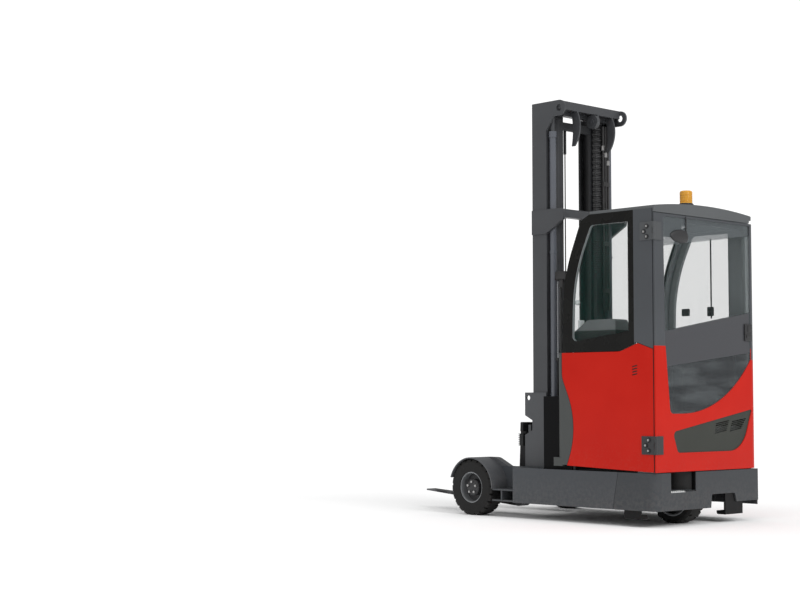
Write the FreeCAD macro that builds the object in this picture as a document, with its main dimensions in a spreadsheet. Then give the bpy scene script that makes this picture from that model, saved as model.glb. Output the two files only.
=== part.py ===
"""A reach truck with a closed cab, as a parametric FreeCAD document.

Millimetres, +Z up, +X towards the forks, +Y to the truck's left. The origin lies
on the floor under the middle of the truck's outline. Every sub-part is an object
of its own, and is written to parts/ under its label.
"""
import FreeCAD, Part
import math
import os
from types import SimpleNamespace

import Sketcher
from FreeCAD import Vector

SIZES = {
    # Stations along the truck, counted forward from its rear face
    "rear_x": -1350,
    "steer_setback": 245,
    "skirt_length": 346,
    "bulkhead_setback": 792,
    "battery_setback": 812,
    "load_axle_setback": 1850,
    "leg_end_setback": 1415,
    "mast_setback": 1252,
    # Chassis
    "chassis_width": 1270,
    "chassis_top": 392,
    "chassis_bottom": 120,
    "chassis_plate": 20,
    "deck_plate": 12,
    "seam_slant": 50,
    "seam_width": 3,
    "leg_width": 230,
    "leg_nose_radius": 34,
    "arm_width": 60,
    "arm_reach": 115,
    "arm_nose_radius": 90,
    "ledge_plate": 12,
    "ledge_inset": 8,
    "ledge_drop": 84,
    "channel_height": 142,
    "channel_depth": 45,
    "channel_middle": 232,
    # Rear skirt with its step
    "skirt_wall": 12,
    "skirt_left_radius": 70,
    "skirt_right_radius": 14,
    "step_middle_y": 311,
    "step_width": 296,
    "step_depth": 140,
    "step_run": 190,
    "tray_wall": 6,
    "tread_pitch": 24,
    "tread_height": 7,
    "notch_middle_y": -172,
    "notch_width": 300,
    "notch_height": 100,
    "skirt_right_rise": 34,
    "skirt_right_width": 290,
    "deck_hole": 290,
    # Stop feet
    "foot_bottom": 60,
    "foot_plate": 14,
    "foot_reach": 80,
    "foot_width": 222,
    "foot_y": -326,
    "side_foot_setback": 150,
    "side_foot_length": 150,
    # Battery
    "battery_length": 283,
    "battery_inset": 30,
    "battery_height": 745,
    "battery_bottom": 201,
    "battery_clearance": 6,
    # Load wheels and fenders
    "load_wheel_diameter": 440,
    "load_wheel_width": 155,
    "wheel_face_inset": 0.5,
    "load_rim_diameter": 246,
    "load_axle_diameter": 60,
    "load_hub_diameter": 130,
    "fender_radius": 229,
    "fender_plate": 10,
    "fender_front_angle": 18,
    "fender_overhang": 5,
    # Drive unit
    "drive_wheel_diameter": 406,
    "drive_wheel_width": 150,
    "drive_rim_diameter": 300,
    "steer_y": 60,
    "steer_clearance": 14,
    "turntable_diameter": 330,
    "turntable_height": 28,
    "slewing_ring_height": 22,
    "slewing_ring_wall": 14,
    "drive_motor_diameter": 200,
    "drive_motor_height": 240,
    "gear_arm_width": 90,
    "gear_arm_thickness": 46,
    # Cab shell
    "cab_bottom": 400,
    "panel_top": 1273,
    "panel_peak_rise": 58,
    "panel_thickness": 30,
    "panel_front_setback": 881,
    "panel_waist_setback": 722,
    "panel_waist_top": 1090,
    "panel_waist_middle": 720,
    "panel_waist_radius": 600,
    "panel_foot_setback": 836,
    "mark_setback": 160,
    "mark_z": 1096,
    "mark_width": 46,
    "mark_height": 9,
    "mark_pitch": 20,
    "mark_depth": 4,
    "panel_gap": 4,
    "post_depth": 46,
    "post_front_setback": 187,
    "cover_front_setback": 945,
    "cover_radius": 62,
    "cover_bottom": 430,
    "cover_wall": 26,
    "cover_foot_setback": 969,
    "cover_foot_top": 485,
    "cover_foot_drop": 10,
    "window_sill": 77,
    "window_sill_rise": 67,
    "window_front_setback": 872,
    "window_knee_setback": 858,
    "window_knee_z": 1850,
    "window_knee_radius": 1200,
    "window_brow_setback": 686,
    "window_brow_z": 2264,
    "window_brow_radius": 100,
    "window_border": 96,
    "window_head": 40,
    "window_frame_depth": 26,
    "glass_thickness": 6,
    "pillar_width": 42,
    "pillar_depth": 40,
    "roof_edge_z": 2327,
    "roof_rise": 40,
    "roof_edge_height": 22,
    "roof_fascia": 26,
    "roof_inset": 4,
    "roof_front_setback": 640,
    "roof_corner_radius": 70,
    "floor_plate": 8,
    # Driver's place
    "plinth_length": 430,
    "plinth_left_y": 260,
    "plinth_height": 320,
    "plinth_wall": 20,
    "seat_width": 480,
    "seat_depth": 470,
    "seat_cushion_height": 110,
    "seat_back_height": 620,
    "seat_back_thickness": 100,
    "console_drop": 93,
    "console_depth": 120,
    "hood_rear_setback": 395,
    "hood_top": 1518,
    "hood_brow_setback": 659,
    "hood_front_setback": 788,
    "hood_front_z": 1435,
    "hood_neck_setback": 806,
    "hood_neck": 36,
    "hood_inset": 45,
    "hood_width": 150,
    "hood_radius": 30,
    "wheel_grip_diameter": 300,
    "wheel_grip_thickness": 24,
    "wheel_column_diameter": 44,
    # Beacon
    "beacon_diameter": 112,
    "beacon_base_height": 38,
    "beacon_lens_height": 96,
    "beacon_setback": 190,
    "beacon_y": -10,
    # Door
    "door_skin": 12,
    "door_depth": 40,
    "door_gap": 5,
    "door_bottom": 398,
    "door_top": 2274,
    "door_red_top": 1310,
    "glass_left_top_inset": 106,
    "glass_left_low_inset": 172,
    "glass_top_z": 2256,
    "glass_bottom_z": 819,
    "glass_right_inset": 85,
    "glass_right_low_z": 1226,
    "grille_top_left_inset": 199,
    "grille_bottom_left_inset": 256,
    "grille_right_inset": 76,
    "grille_bottom_right_inset": 205,
    "grille_top_left_z": 687,
    "grille_bottom_z": 535,
    "grille_top_right_z": 848,
    "grille_recess": 6,
    "slot_height": 8,
    "slot_pitch": 14,
    "hinge_pin_diameter": 10,
    "hinge_barrel_diameter": 20,
    "hinge_axis_out": 10,
    "hinge_leaf": 6,
    "hinge_height": 132,
    "upper_hinge_z": 2141,
    "lower_hinge_z": 593,
    # Mast
    "mast_side_gap": 5.7,
    "mast_depth": 148,
    "mast_top": 3277,
    "rail_web": 16,
    "rail_flange": 18,
    "outer_rail_width": 68,
    "middle_rail_width": 80,
    "inner_rail_width": 60,
    "rail_gap": 6,
    "stage_step": 34,
    "tie_height": 66,
    "top_tie_stand": 134,
    "mid_tie_z": 2386,
    "lift_cylinder_diameter": 52,
    "lift_rod_diameter": 34,
    "lift_cylinder_stand": 32,
    "lift_cylinder_inset": 44,
    "free_cylinder_diameter": 84,
    "free_cylinder_gap": 33,
    "free_cylinder_stand": 74,
    "free_cylinder_top": 1935,
    "reach_travel": 560,
    # Carriage on the legs
    "side_plate_thickness": 14,
    "side_plate_top": 976,
    # Forks
    "fork_length": 1060,
    "fork_width": 100,
    "fork_thickness": 40,
    "fork_tip": 12,
    "fork_spread": 500,
    "fork_plate_height": 485,
    "fork_plate_inset": 35,
    "fork_plate_bottom": 250,
    "fork_plate_thickness": 30,
    "fender_rear_angle": 180,
    "fender_tail": 250,
    "fender_shoulder": 110,
    "load_flange": 8,
    "load_flange_diameter": 130,
    "load_hub_inset": 40,
    "tyre_shoulder": 22,
    "lug_length": 46,
    "lug_depth": 14,
    "lug_gap": 26,
    "rim_wall": 9,
    "rim_disc_inset": 12,
    "rim_hub_inset": 18,
    "rim_lip": 6,
    "seat_gap": 0.3,
    "running_gap": 6,
    "wheel_side_gap": 8,
    "drive_axle_diameter": 56,
    "drive_axle_inset": 30,
    "drive_web": 24,
    "drive_hub_diameter": 120,
    "panel_foot_rise": 26,
    "panel_hip_radius": 150,
    "panel_shoulder_setback": 318,
    "panel_peak_setback": 155,
    "panel_peak_radius": 60,
    "panel_tail_rise": 12,
    "cowl_plate": 18,
    "header_height": 60,
    "header_depth": 40,
    "brow_run": 40,
    "window_rear_border": 51,
    "window_corner_radius": 40,
    "glass_setback": 9,
    "plinth_setback": 50,
    "console_setback": 780,
    "seat_setback": 60,
    "seat_back_inset": 255,
    "seat_radius": 40,
    "wheel_reach": 190,
    "wheel_inset": 305,
    "wheel_drop": 60,
    "wheel_column_length": 60,
    "beacon_lip": 8,
    "door_corner_radius": 80,
    "glass_left_middle_inset": 120,
    "glass_left_middle_z": 1330,
    "glass_corner_radius": 40,
    "glass_bend_inset": 330,
    "glass_sweep_radius": 1105,
    "door_stile": 45,
    "door_rail": 130,
    "door_pane_setback": 3,
    "wiper_plate_y": 287,
    "wiper_plate_z": 2108,
    "grille_small_radius": 35,
    "grille_large_radius": 235,
    "grille_tip_radius": 12,
    "vent_one_inset": 475,
    "vent_one_z": 666,
    "vent_two_inset": 285,
    "vent_two_z": 680,
    "vent_width": 150,
    "vent_rise": 22,
    "vent_lean": 6,
    "hinge_door_leaf": 80,
    "hinge_cab_leaf": 122,
    "hinge_play": 1,
    "carriage_bottom": 125,
    "carriage_plate": 40,
    "carriage_tail": 110,
    "side_plate_lead": 77,
    "side_plate_waist_low": 640,
    "side_plate_waist_high": 757,
    "plate_eye": 40,
    "plate_eye_inset": 42,
    "roller_pin_diameter": 40,
    "reach_cylinder_diameter": 60,
    "reach_cylinder_z": 155,
    "reach_overlap": 60,
    "reach_rod_diameter": 32,
    "reach_rod_inset": 12,
    "tie_depth": 60,
    "top_arm_height": 233,
    "eye_height": 124,
    "eye_reach": 64,
    "eye_hole": 54,
    "hook_height": 274,
    "hook_width": 62,
    "hook_tip": 30,
    "hook_lean": 28,
    "hook_bow": 251,
    "hook_inner_bow": 600,
    "hook_thickness": 14,
    "hook_left_y": 150,
    "hook_right_y": -280,
    "mid_plate": 10,
    "mid_plate_reach": 48,
    "sheave_diameter": 110,
    "sheave_width": 34,
    "sheave_y": -60,
    "sheave_hub": 40,
    "mid_arm_drop": 127,
    "lift_cylinder_drop": 236,
    "cylinder_ring": 5,
    "cylinder_ring_height": 16,
    "cylinder_ring_z": 2070,
    "stage_lift": 12,
    "free_head_height": 140,
    "free_hose_diameter": 10,
    "free_hose_stand": 32,
    "free_hose_side": 20,
    "free_fitting_diameter": 24,
    "free_fitting_low": 2891,
    "lift_chain_width": 30,
    "lift_chain_depth": 16,
    "lift_chain_link": 26,
    "lift_chain_run": 520,
    "chain_inset": 173,
    "chain_width": 75,
    "chain_depth": 36,
    "chain_rib": 7,
    "chain_rib_height": 22,
    "chain_pitch": 44,
    "chain_bottom": 1500,
    "hose_stand": 60,
    "hose_inset": 141,
    "hose_pitch": 30,
    "hose_diameter": 20,
    "hose_bottom": 1640,
    "hose_clamp_z": 2654,
    "hose_clamp_pitch": 869,
    "hose_clamp_middle": 485,
    "hose_clamp_height": 34,
    "fork_lean": 3,
    "carriage_side_plate": 18,
    "carriage_side_offset": -22,
    "carriage_beam_gap": 60,
    "carriage_beam_depth": 26,
    "carriage_beam_height": 80,
    "fork_carriage_bottom": 230,
    "fork_carriage_top": 720,
    "hinge_ear_width": 20,
    "tilt_offset": 34,
    "tilt_hinge_z": 660,
    "tilt_pin_diameter": 24,
    "fork_bar_height": 70,
    "fork_plate_post": 40,
    "fork_heel_z": 60,
}

doc = FreeCAD.newDocument("reach_truck")
sheet = doc.addObject("Spreadsheet::Sheet", "Sizes")
for row, (name, number) in enumerate(SIZES.items(), start=1):
    sheet.set(f"A{row}", name)
    sheet.set(f"B{row}", str(number))
    sheet.setAlias(f"B{row}", name)
doc.recompute()


class Size:
    """A number with the sheet expression that gives it, kept together."""

    def __init__(self, number, text):
        self.number = number
        self.text = text

    @staticmethod
    def of(value):
        if isinstance(value, Size):
            return value
        return Size(float(value), repr(float(value)))

    def joined(self, sign, other, number):
        return Size(number, f"({self.text} {sign} {other.text})")

    def __add__(self, other):
        other = Size.of(other)
        return self.joined("+", other, self.number + other.number)

    def __sub__(self, other):
        other = Size.of(other)
        return self.joined("-", other, self.number - other.number)

    def __mul__(self, other):
        other = Size.of(other)
        return self.joined("*", other, self.number * other.number)

    def __truediv__(self, other):
        other = Size.of(other)
        return self.joined("/", other, self.number / other.number)

    def __radd__(self, other):
        return Size.of(other) + self

    def __rsub__(self, other):
        return Size.of(other) - self

    def __rmul__(self, other):
        return Size.of(other) * self

    def __neg__(self):
        return Size.of(0) - self


def cosine(angle):
    angle = Size.of(angle)
    return Size(math.cos(math.radians(angle.number)), f"cos({angle.text})")


def sine(angle):
    angle = Size.of(angle)
    return Size(math.sin(math.radians(angle.number)), f"sin({angle.text})")


def root(value):
    value = Size.of(value)
    return Size(math.sqrt(value.number), f"sqrt({value.text})")


size = SimpleNamespace(
    **{name: Size(float(sheet.get(name)), f"Sizes.{name}") for name in SIZES}
)


def rectangle(left, low, right, high, radius=None):
    corners = [(left, low), (right, low), (right, high), (left, high)]
    if radius is None:
        return corners
    return [(u, v, radius) for u, v in corners]


def circle(u, v, diameter):
    return ("circle", u, v, diameter)


def bow(radius):
    """Between two corners: their side is an arc. A minus sign bends it to the right."""
    return ("bow", radius)


def mirrored(loop, across):
    """The same loop on the other side: across is "u" or "v", the one that flips."""
    if loop[0] == "circle":
        _, u, v, diameter = loop
        return circle(-u if across == "u" else u, -v if across == "v" else v, diameter)
    flipped = []
    for corner in loop:
        if corner[0] == "bow":
            flipped.append(bow(-Size.of(corner[1])))
            continue
        u, v = Size.of(corner[0]), Size.of(corner[1])
        moved = (-u, v) if across == "u" else (u, -v)
        flipped.append(moved + tuple(corner[2:]))
    return flipped


def tangent_points(before, corner, after, radius):
    """Where a corner's rounding leaves its two sides, and the rounding's middle."""
    back = (before - corner).normalize()
    ahead = (after - corner).normalize()
    half = back.getAngle(ahead) / 2
    reach = radius / math.tan(half)
    middle = corner + (back + ahead).normalize() * (radius / math.sin(half))
    bow = middle - (back + ahead).normalize() * radius
    return corner + back * reach, bow, corner + ahead * reach


class Drawing:
    """The outlines of one sketch, with the rules that tie them to the sheet.

    The rules are added together at the end, so that each is read from the outline
    as drawn and not from a half-solved one.
    """

    def __init__(self, profile):
        self.profile = profile
        self.rules = []

    def rule(self, kind, *places, amount=None):
        numbers = places if amount is None else (*places, amount.number)
        self.rules.append((Sketcher.Constraint(kind, *numbers), amount))

    def fix(self, place, u, v):
        self.rule("DistanceX", *place, amount=u)
        self.rule("DistanceY", *place, amount=v)

    def finish(self):
        self.profile.addConstraint([constraint for constraint, _ in self.rules])
        for number, (_, amount) in enumerate(self.rules):
            if amount is not None:
                self.profile.setExpression(f"Constraints[{number}]", amount.text)

    def ring(self, u, v, diameter):
        u, v, diameter = Size.of(u), Size.of(v), Size.of(diameter)
        middle = Vector(u.number, v.number)
        drawn = Part.Circle(middle, Vector(0, 0, 1), diameter.number / 2)
        index = self.profile.addGeometry(drawn)
        self.fix((index, 3), u, v)
        self.rule("Diameter", index, amount=diameter)

    def outline(self, loop, closed):
        """Sides through the corners: straight or bowed, rounded where a corner says."""
        corners, bends = [], []
        for entry in loop:
            if entry[0] == "bow":
                bends[-1] = Size.of(entry[1])
            else:
                corners.append(tuple(Size.of(part) for part in entry))
                bends.append(None)
        places = [Vector(c[0].number, c[1].number) for c in corners]
        total = len(corners)
        starts, ends, bows = list(places), list(places), [None] * total
        for i, corner in enumerate(corners):
            if len(corner) == 3:
                before, after = places[i - 1], places[(i + 1) % total]
                ends[i], bows[i], starts[i] = tangent_points(
                    before, places[i], after, corner[2].number
                )
        sides = [
            self.side(starts[i], ends[(i + 1) % total], bends[i])
            for i in range(total if closed else total - 1)
        ]
        for i, corner in enumerate(corners):
            leaving = None if not closed and i == total - 1 else sides[i]
            coming = None if not closed and i == 0 else sides[i - 1]
            if len(corner) == 3:
                points = (ends[i], bows[i], starts[i])
                anchor = self.rounding(coming, leaving, corner[2], points, places[i])
            else:
                if coming and leaving:
                    self.rule("Coincident", *coming.end, *leaving.start)
                anchor = leaving.start if leaving else coming.end
            self.fix(anchor, corner[0], corner[1])

    def side(self, start, end, bend):
        """A line, or an arc of radius bend; says which of its points is which."""
        if bend is None:
            line = self.profile.addGeometry(Part.LineSegment(start, end))
            return SimpleNamespace(index=line, start=(line, 1), end=(line, 2))
        turns_left = bend.number > 0
        radius = bend if turns_left else -bend
        along = end - start
        left = Vector(-along.y, along.x).normalize()
        depth = math.sqrt(radius.number**2 - (along.Length / 2) ** 2)
        outward = left * ((depth - radius.number) if turns_left else (radius.number - depth))
        arc, first, last = self.arc(start, start + along / 2 + outward, end)
        self.rule("Radius", arc, amount=radius)
        return SimpleNamespace(index=arc, start=(arc, first), end=(arc, last))

    def arc(self, start, middle, end):
        """An arc kept anticlockwise, as sketches hold it, and which end is which."""
        turn = (middle - start).cross(end - middle).z
        if turn > 0:
            return self.profile.addGeometry(Part.Arc(start, middle, end)), 1, 2
        return self.profile.addGeometry(Part.Arc(end, middle, start)), 2, 1

    def rounding(self, coming, leaving, radius, points, corner):
        """An arc tangent to both sides, and the sharp corner kept as a point."""
        arc, near, far = self.arc(*points)
        self.rule("Tangent", *coming.end, arc, near)
        self.rule("Tangent", arc, far, *leaving.start)
        self.rule("Radius", arc, amount=radius)
        point = self.profile.addGeometry(Part.Point(corner), True)
        for side in (coming, leaving):
            self.rule("PointOnObject", point, 1, side.index)
        return (point, 1)


PLANES = {"X": "YZ_Plane", "Y": "XZ_Plane", "Z": "XY_Plane"}


class Piece:
    """One sub-part: a body that grows by pads, cuts, turns and roundings."""

    def __init__(self, label):
        self.body = doc.addObject("PartDesign::Body", label)
        self.body.Label = label
        self.body.AllowCompound = True
        self.label = label
        self.count = 0

    def named(self, kind):
        self.count += 1
        return f"{self.label}_{kind}_{self.count}"

    def sketch(self, axis, level, loops, origin=(0, 0), closed=True):
        """A sketch square to axis at level; its own origin is at origin."""
        profile = self.body.newObject("Sketcher::SketchObject", self.named("sketch"))
        role = PLANES[axis]
        plane = next(f for f in self.body.Origin.OriginFeatures if f.Role == role)
        profile.AttachmentSupport = [(plane, "")]
        profile.MapMode = "FlatFace"
        # The XZ plane of a body faces -Y, so a level along Y counts backwards
        height = -Size.of(level) if axis == "Y" else Size.of(level)
        place = [Size.of(origin[0]), Size.of(origin[1]), height]
        for letter, amount in zip("xyz", place):
            profile.setExpression(f"AttachmentOffset.Base.{letter}", amount.text)
        drawing = Drawing(profile)
        for loop in loops:
            if loop[0] == "circle":
                drawing.ring(*loop[1:])
            else:
                drawing.outline(loop, closed)
        drawing.finish()
        return profile

    def span(self, axis, low, high):
        """The sketch level and the run of a feature between two levels."""
        low, high = Size.of(low), Size.of(high)
        return (high if axis == "Y" else low), high - low

    def pad(self, axis, low, high, *loops, origin=(0, 0)):
        level, run = self.span(axis, low, high)
        profile = self.sketch(axis, level, loops, origin)
        feature = self.body.newObject("PartDesign::Pad", self.named("pad"))
        feature.Profile = profile
        feature.setExpression("Length", run.text)
        return feature

    def cut(self, axis, low, high, *loops, origin=(0, 0)):
        level, run = self.span(axis, low, high)
        profile = self.sketch(axis, level, loops, origin)
        feature = self.body.newObject("PartDesign::Pocket", self.named("pocket"))
        feature.Profile = profile
        feature.Reversed = True
        feature.setExpression("Length", run.text)
        return feature

    def turn(self, axis, level, about, *loops, origin=(0, 0), angle=360, cut=False):
        kind = "Groove" if cut else "Revolution"
        profile = self.sketch(axis, level, loops, origin)
        feature = self.body.newObject(f"PartDesign::{kind}", self.named(kind.lower()))
        feature.Profile = profile
        feature.ReferenceAxis = (profile, [f"{about}_Axis"])
        feature.setExpression("Angle", Size.of(angle).text)
        return feature

    def repeated(self, kind, features, axis, count):
        """The same features again at even steps along or round an axis."""
        pattern = self.body.newObject(f"PartDesign::{kind}Pattern", self.named("pattern"))
        pattern.Originals = features
        if kind == "Polar":
            pattern.Axis = axis
        else:
            pattern.Direction = axis
        pattern.Occurrences = count
        self.body.Tip = pattern
        return pattern

    def edges(self, wanted):
        doc.recompute()
        shape = self.body.Tip.Shape
        return [f"Edge{i}" for i, edge in enumerate(shape.Edges, 1) if wanted(edge)]

    def fillet(self, radius, wanted):
        names = self.edges(wanted)
        base = self.body.Tip
        feature = self.body.newObject("PartDesign::Fillet", self.named("fillet"))
        feature.Base = (base, names)
        feature.setExpression("Radius", Size.of(radius).text)
        return feature


def runs_along(axis):
    index = "XYZ".index(axis)

    def straight(edge):
        if edge.Curve.TypeId != "Part::GeomLine":
            return False
        return abs(abs(edge.Curve.Direction[index]) - 1) < 1e-6

    return straight


def both(*tests):
    return lambda edge: all(test(edge) for test in tests)


# Places that several sub-parts share
rear = size.rear_x
half_width = size.chassis_width / 2
half_leg_gap = half_width - size.leg_width
steer_x = rear + size.steer_setback
load_axle_x = rear + size.load_axle_setback
load_axle_z = size.load_wheel_diameter / 2
leg_end_x = rear + size.leg_end_setback
arm_end_x = load_axle_x + size.arm_reach
mast_rear_x = rear + size.mast_setback
mast_front_x = mast_rear_x + size.mast_depth
battery_rear_x = rear + size.battery_setback
battery_front_x = battery_rear_x + size.battery_length
mast_slot_x = battery_front_x + size.battery_clearance + size.deck_plate
bulkhead_x = rear + size.bulkhead_setback
console_x = rear + size.console_setback
half_mast = half_leg_gap - size.side_plate_thickness - size.seat_gap - size.mast_side_gap
lift_cylinder_y = half_mast - size.lift_cylinder_inset
inner_outer_y = (half_mast - size.outer_rail_width - size.middle_rail_width
                 - size.rail_gap * 2)
free_cylinder_y = (inner_outer_y - size.inner_rail_width - size.free_cylinder_gap
                   - size.free_cylinder_diameter / 2)
chain_y = size.chain_inset - half_mast
hose_y = size.hose_inset - half_mast
fork_plate_half = half_mast - size.fork_plate_inset
battery_half = half_width - size.battery_inset
load_wheel_y = half_width - size.load_wheel_width / 2 - size.wheel_face_inset
door_left_y = half_width - size.door_gap
glass_right_y = size.glass_right_inset - half_width
seat_back_y = half_width - size.seat_back_inset
window_bottom = size.panel_top + size.panel_gap
console_top = size.panel_top - size.console_drop
drive_axle_z = size.drive_wheel_diameter / 2
arm_outer_y = half_leg_gap + size.arm_width


def chassis_frame():
    """Side beams, deck, battery bay and the two legs, welded into one frame."""
    piece = Piece("chassis_frame")
    top, bottom = size.chassis_top, size.chassis_bottom
    seam_x = rear + size.skirt_length + size.seam_width
    half = [
        (seam_x, -half_width),
        (leg_end_x, -half_width, size.leg_nose_radius),
        (leg_end_x, -arm_outer_y),
        (arm_end_x, -arm_outer_y),
        (arm_end_x, -half_leg_gap),
        (mast_slot_x, -half_leg_gap),
    ]
    outline = half + [
        (corner[0], -corner[1], *corner[2:]) for corner in reversed(half)
    ]
    piece.pad("Z", bottom, top, outline)
    inner = half_width - size.chassis_plate
    bay_y = battery_half + size.battery_clearance
    bay_rear = battery_rear_x - size.battery_clearance
    bay_front = battery_front_x + size.battery_clearance
    bay_floor = size.battery_bottom - size.deck_plate
    piece.cut("Z", bottom, top - size.deck_plate,
              rectangle(seam_x - size.seam_slant, -inner, bulkhead_x, inner))
    piece.cut("Z", bottom, bay_floor, rectangle(bay_rear, -inner, bay_front, inner))
    piece.cut("Z", size.battery_bottom, top, rectangle(bay_rear, -bay_y, bay_front, bay_y))
    piece.cut("Z", top - size.deck_plate, top, circle(steer_x, size.steer_y, size.deck_hole))
    # Way through the walls under the battery for the reach cylinder
    seat = size.reach_cylinder_diameter + size.seat_gap * 2
    piece.cut("X", bulkhead_x, mast_slot_x, circle(0, size.reach_cylinder_z, seat))
    # The seam to the skirt leans forward towards the floor
    piece.cut("Y", -half_width, half_width, [
        (seam_x, top),
        (seam_x + size.seam_slant, bottom),
        (seam_x, bottom),
    ])
    # Ledges behind the load wheels, on which the fenders stand, and their webs
    ledge_x = load_axle_x - size.fender_radius
    edge = half_width - size.ledge_inset
    plate = size.ledge_plate
    start = leg_end_x - size.leg_nose_radius
    low_z = load_axle_z - size.ledge_drop
    for near, far in ((arm_outer_y, edge), (-edge, -arm_outer_y)):
        for high in (load_axle_z, low_z):
            piece.pad("Z", high - plate, high, rectangle(start, near, ledge_x, far))
        middle = (leg_end_x + ledge_x) / 2
        piece.pad("X", middle, middle + plate, rectangle(near, low_z, far, load_axle_z))
    # Channels in the legs, in which the mast carriage rolls
    low = size.channel_middle - size.channel_height / 2
    high = size.channel_middle + size.channel_height / 2
    back = half_leg_gap + size.channel_depth
    channel = rectangle(mast_slot_x, low, arm_end_x, high)
    piece.cut("Y", half_leg_gap, back, channel)
    piece.cut("Y", -back, -half_leg_gap, channel)
    # Arms beside the load wheels, rounded at the nose
    nose = size.arm_nose_radius
    piece.fillet(nose, both(runs_along("Y"), lambda edge: edge.BoundBox.XMin > arm_end_x.number - 1
                            and abs(edge.CenterOfMass.z - top.number) < 1))
    return piece


def rear_skirt():
    """Sheet skirt round the drive wheel, with the deck, the step and its tray."""
    piece = Piece("rear_skirt")
    top, bottom, wall = size.chassis_top, size.chassis_bottom, size.skirt_wall
    seam_x = rear + size.skirt_length
    front_x = seam_x + size.seam_slant
    left, right = half_width, -half_width
    piece.pad("Z", bottom, top, [
        (rear, right, size.skirt_right_radius),
        (front_x, right),
        (front_x, left),
        (rear, left, size.skirt_left_radius),
    ])
    piece.cut("Z", bottom, top - size.deck_plate, [
        (rear + wall, right + wall),
        (front_x, right + wall),
        (front_x, left - wall),
        (rear + wall, left - wall, size.skirt_left_radius - wall),
    ])
    lean = [(seam_x, top), (front_x, top), (front_x, bottom)]
    piece.cut("Y", -half_width, half_width, lean)
    # Raised lower edge at the right, and the notch in front of the drive wheel
    notch_left = size.notch_middle_y + size.notch_width / 2
    notch_right = size.notch_middle_y - size.notch_width / 2
    piece.cut("X", rear, rear + wall, [
        (right, bottom),
        (right, bottom + size.skirt_right_rise),
        (right + size.skirt_right_width, bottom + size.skirt_right_rise),
        (notch_right, bottom + size.notch_height, wall),
        (notch_left - wall, bottom + size.notch_height, wall),
        (notch_left, bottom),
    ])
    # Step: an opening in the wall and deck, and a tray that keeps off the wheel
    step_left = size.step_middle_y + size.step_width / 2
    step_right = size.step_middle_y - size.step_width / 2
    step_floor = top - size.step_depth
    tray_front = rear + wall + size.step_run
    sheet_wall = size.tray_wall

    def tray_outline(inset):
        sweep = steer_sweep + size.steer_clearance + inset
        side = step_right + inset - size.steer_y
        reach = tray_front - inset - steer_x
        return [
            (rear + wall, step_left - inset),
            (rear + wall, step_right + inset),
            (steer_x - root(sweep * sweep - side * side), step_right + inset),
            bow(-sweep),
            (tray_front - inset, size.steer_y + root(sweep * sweep - reach * reach)),
            (tray_front - inset, step_left - inset),
        ]

    piece.pad("Z", step_floor - sheet_wall, top, tray_outline(-sheet_wall))
    piece.cut("Z", step_floor, top, tray_outline(0))
    piece.cut("X", rear, rear + wall, rectangle(step_right, step_floor, step_left, top))
    tooth = size.tread_pitch / 2
    first = step_right + tooth
    tread = piece.pad("Z", step_floor, step_floor + size.tread_height, rectangle(
        rear + wall / 2, first, rear + wall * 5, first + tooth))
    axis = next(f for f in piece.body.Origin.OriginFeatures if f.Role == "Y_Axis")
    count = round(size.step_width.number / size.tread_pitch.number)
    teeth = piece.repeated("Linear", [tread], (axis, [""]), count)
    teeth.setExpression("Length", (size.tread_pitch * (count - 1)).text)
    piece.cut("Z", top - size.deck_plate, top, circle(steer_x, size.steer_y, size.deck_hole))
    # Slewing ring on the deck, on which the turntable rides
    piece.pad("Z", top, top + size.slewing_ring_height,
              circle(steer_x, size.steer_y, size.deck_hole),
              circle(steer_x, size.steer_y, size.deck_hole + size.slewing_ring_wall * 2))
    return piece


def stop_feet():
    """Angle feet under the skirt that stop the truck from leaning too far."""
    piece = Piece("stop_feet")
    low, plate, reach = size.foot_bottom, size.foot_plate, size.foot_reach
    high = size.chassis_bottom + size.notch_height
    left, right = size.foot_y + size.foot_width / 2, size.foot_y - size.foot_width / 2
    wall_x = rear + size.skirt_wall
    section = [
        (wall_x, low),
        (wall_x + reach, low, plate),
        (wall_x + reach, low + plate * 2),
        (wall_x + plate, low + plate * 2),
        (wall_x + plate, high),
        (wall_x, high),
    ]
    piece.pad("Y", right, left, section)
    wall_y = half_width - size.skirt_wall
    start = rear + size.side_foot_setback
    side_section = [
        (wall_y, low),
        (wall_y, high),
        (wall_y - plate, high),
        (wall_y - plate, low + plate * 2),
        (wall_y - reach, low + plate * 2),
        (wall_y - reach, low),
    ]
    piece.pad("X", start, start + size.side_foot_length, side_section)
    return piece


def battery():
    """The traction battery as one block across the truck."""
    piece = Piece("battery")
    half = battery_half
    bottom = size.battery_bottom
    piece.pad("Z", bottom, bottom + size.battery_height,
              rectangle(battery_rear_x, -half, battery_front_x, half))
    return piece


def fenders():
    """Arched guards over the load wheels, carried on the arms."""
    piece = Piece("fenders")
    outer = size.fender_radius + size.fender_plate
    inner = size.fender_radius
    front = size.fender_front_angle
    rear_angle = size.fender_rear_angle
    crest = load_axle_z + outer

    def on_arc(radius, angle):
        return (load_axle_x + radius * cosine(angle), load_axle_z + radius * sine(angle))

    band = [
        on_arc(outer, front),
        bow(outer),
        on_arc(outer, rear_angle),
        on_arc(inner, rear_angle),
        bow(-inner),
        on_arc(inner, front),
    ]
    tail_x = load_axle_x - size.fender_tail
    shelf_x = load_axle_x - size.fender_shoulder
    seat_z = size.chassis_top
    plate = size.fender_plate
    tail = [
        on_arc(outer, front),
        bow(outer),
        (load_axle_x, crest),
        (shelf_x, crest, size.fender_shoulder),
        (tail_x, seat_z),
        (load_axle_x, seat_z),
        (load_axle_x, crest - plate),
        bow(-inner),
        on_arc(inner, front),
    ]
    edge = half_width + size.fender_overhang
    for low, high in ((arm_outer_y, edge), (-edge, -arm_outer_y)):
        piece.pad("Y", low, high, band)
    for low, high in ((half_leg_gap, arm_outer_y), (-arm_outer_y, -half_leg_gap)):
        piece.pad("Y", low, high, tail)
    return piece


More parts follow.
